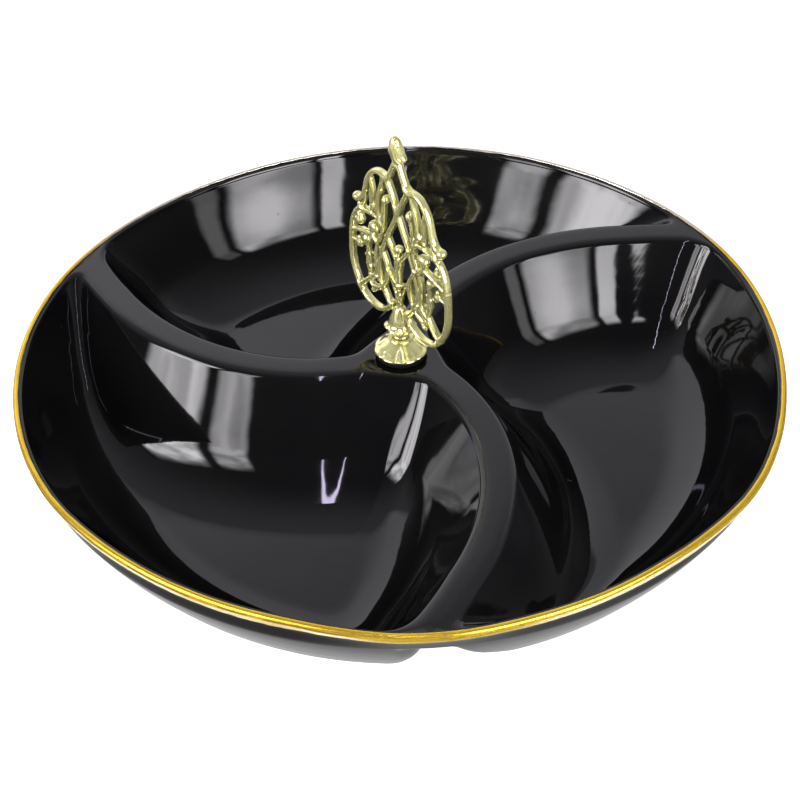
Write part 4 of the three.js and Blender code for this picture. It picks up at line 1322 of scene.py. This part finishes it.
def pane(name, az, el, far, colour, low, high, fade=0.25, lean=0.05, blur=0.06):
    """Light patch seen from the dish between two compass directions and two heights (degrees)."""
    mid = rad((az[0] + az[1]) / 2)
    out = Vector((math.sin(mid), math.cos(mid), 0))
    side = Vector((math.cos(mid), -math.sin(mid), 0))
    z0, z1 = far * math.tan(rad(el[0])), far * math.tan(rad(el[1]))
    half = far * math.tan(rad(abs(az[1] - az[0]) / 2))
    c = out * far + Vector((0, 0, (z0 + z1) / 2))
    me = bpy.data.meshes.new(name)
    h = (z1 - z0) / 2
    me.from_pydata([(-half, -h, 0), (half, -h, 0), (half, h, 0), (-half, h, 0)], [], [(0, 1, 2, 3)])
    me.materials.append(pane_material(name + "_light", colour, low, high, fade, lean, blur))
    o = bpy.data.objects.new(name, me)
    m = Matrix((side, Vector((0, 0, 1)), out)).transposed().to_4x4()
    m.translation = c
    o.matrix_world = m
    o.visible_camera = False
    bpy.context.scene.collection.objects.link(o)
    return o


DAY = (1.0, 0.98, 1.01)
# window to the right behind the camera: frame strip, wide pane, narrow brighter pane
pane("window_a1", (111.5, 119.0), (8, 40), 1.0, DAY, 1.1, 1.9, blur=0.3)
pane("window_a2", (119.4, 150.9), (8, 42), 1.0, DAY, 3.2, 11.0, blur=0.12)
pane("window_a3", (151.6, 160.2), (8, 42), 1.0, DAY, 8.0, 13.0, blur=0.2)
# window to the left
pane("window_b1", (-149, -131), (6, 47), 2.6, DAY, 3.6, 8.0, fade=0.35, blur=0.2)
pane("window_b2", (-129, -99), (6, 47), 2.6, DAY, 6.5, 14.0, fade=0.35, blur=0.15)


def tube(name, a, b, z, width, colour, strength):
    """Tube lamp overhead, between two points in plan."""
    me = bpy.data.meshes.new(name)
    p, q = Vector((*a, z)), Vector((*b, z))
    w = (q - p).normalized().cross(Vector((0, 0, 1))) * (width / 2)
    me.from_pydata([p - w, p + w, q + w, q - w], [], [(0, 1, 2, 3)])
    m = bpy.data.materials.new(name + "_light")
    m.use_nodes = True
    t = m.node_tree
    t.nodes.clear()
    out = t.nodes.new("ShaderNodeOutputMaterial")
    em = t.nodes.new("ShaderNodeEmission")
    em.inputs["Color"].default_value = (*colour, 1.0)
    em.inputs["Strength"].default_value = strength
    t.links.new(em.outputs[0], out.inputs[0])
    me.materials.append(m)
    o = bpy.data.objects.new(name, me)
    o.visible_camera = False
    bpy.context.scene.collection.objects.link(o)
    return o


tube("ceiling_tube", (-0.07, -0.12), (-0.05, -3.4), 2.0, 0.034, (0.80, 0.72, 1.0), 20.0)


def world():
    """Pale backdrop behind the dish, dim ceiling, dark room behind the camera."""
    w = bpy.data.worlds.new("studio")
    bpy.context.scene.world = w
    w.use_nodes = True
    t = w.node_tree
    t.nodes.clear()
    out = t.nodes.new("ShaderNodeOutputWorld")
    bg = t.nodes.new("ShaderNodeBackground")
    co = t.nodes.new("ShaderNodeTexCoord")
    sep = t.nodes.new("ShaderNodeSeparateXYZ")
    t.links.new(co.outputs["Generated"], sep.inputs[0])

    def ramp(value, a, b, lo, hi):
        n = t.nodes.new("ShaderNodeMapRange")
        n.interpolation_type = "SMOOTHSTEP"
        for k, v in (("From Min", a), ("From Max", b), ("To Min", lo), ("To Max", hi)):
            n.inputs[k].default_value = v
        t.links.new(value, n.inputs["Value"])
        return n.outputs[0]

    def join(op, a, b):
        n = t.nodes.new("ShaderNodeMath")
        n.operation = op
        t.links.new(a, n.inputs[0])
        t.links.new(b, n.inputs[1])
        return n.outputs[0]

    x, y, z = sep.outputs
    turn = t.nodes.new("ShaderNodeMath")
    turn.operation = "ARCTAN2"
    t.links.new(x, turn.inputs[0])
    t.links.new(y, turn.inputs[1])
    wide = join(
        "MULTIPLY", ramp(turn.outputs[0], -1.05, -0.90, 0, 1), ramp(turn.outputs[0], 0.80, 0.70, 0, 1)
    )
    sheet = join("MULTIPLY", wide, ramp(z, 0.82, 0.74, 0, 1))
    sheet = join("MULTIPLY", sheet, ramp(z, 0.80, 0.60, 0.40, 1.02))
    sheet = join("MULTIPLY", sheet, ramp(turn.outputs[0], 0.24, -0.26, 0.72, 1.14))
    ceiling = join("MULTIPLY", ramp(y, -0.55, 0.55, 0.08, 0.42), ramp(z, 0.15, 0.55, 0.3, 1.0))
    t.links.new(join("MAXIMUM", sheet, ceiling), bg.inputs["Strength"])
    bg.inputs["Color"].default_value = (1.0, 0.975, 1.045, 1)
    t.links.new(bg.outputs[0], out.inputs[0])


world()
view = bpy.context.scene.view_settings
view.view_transform = "Standard"
view.look = "None"
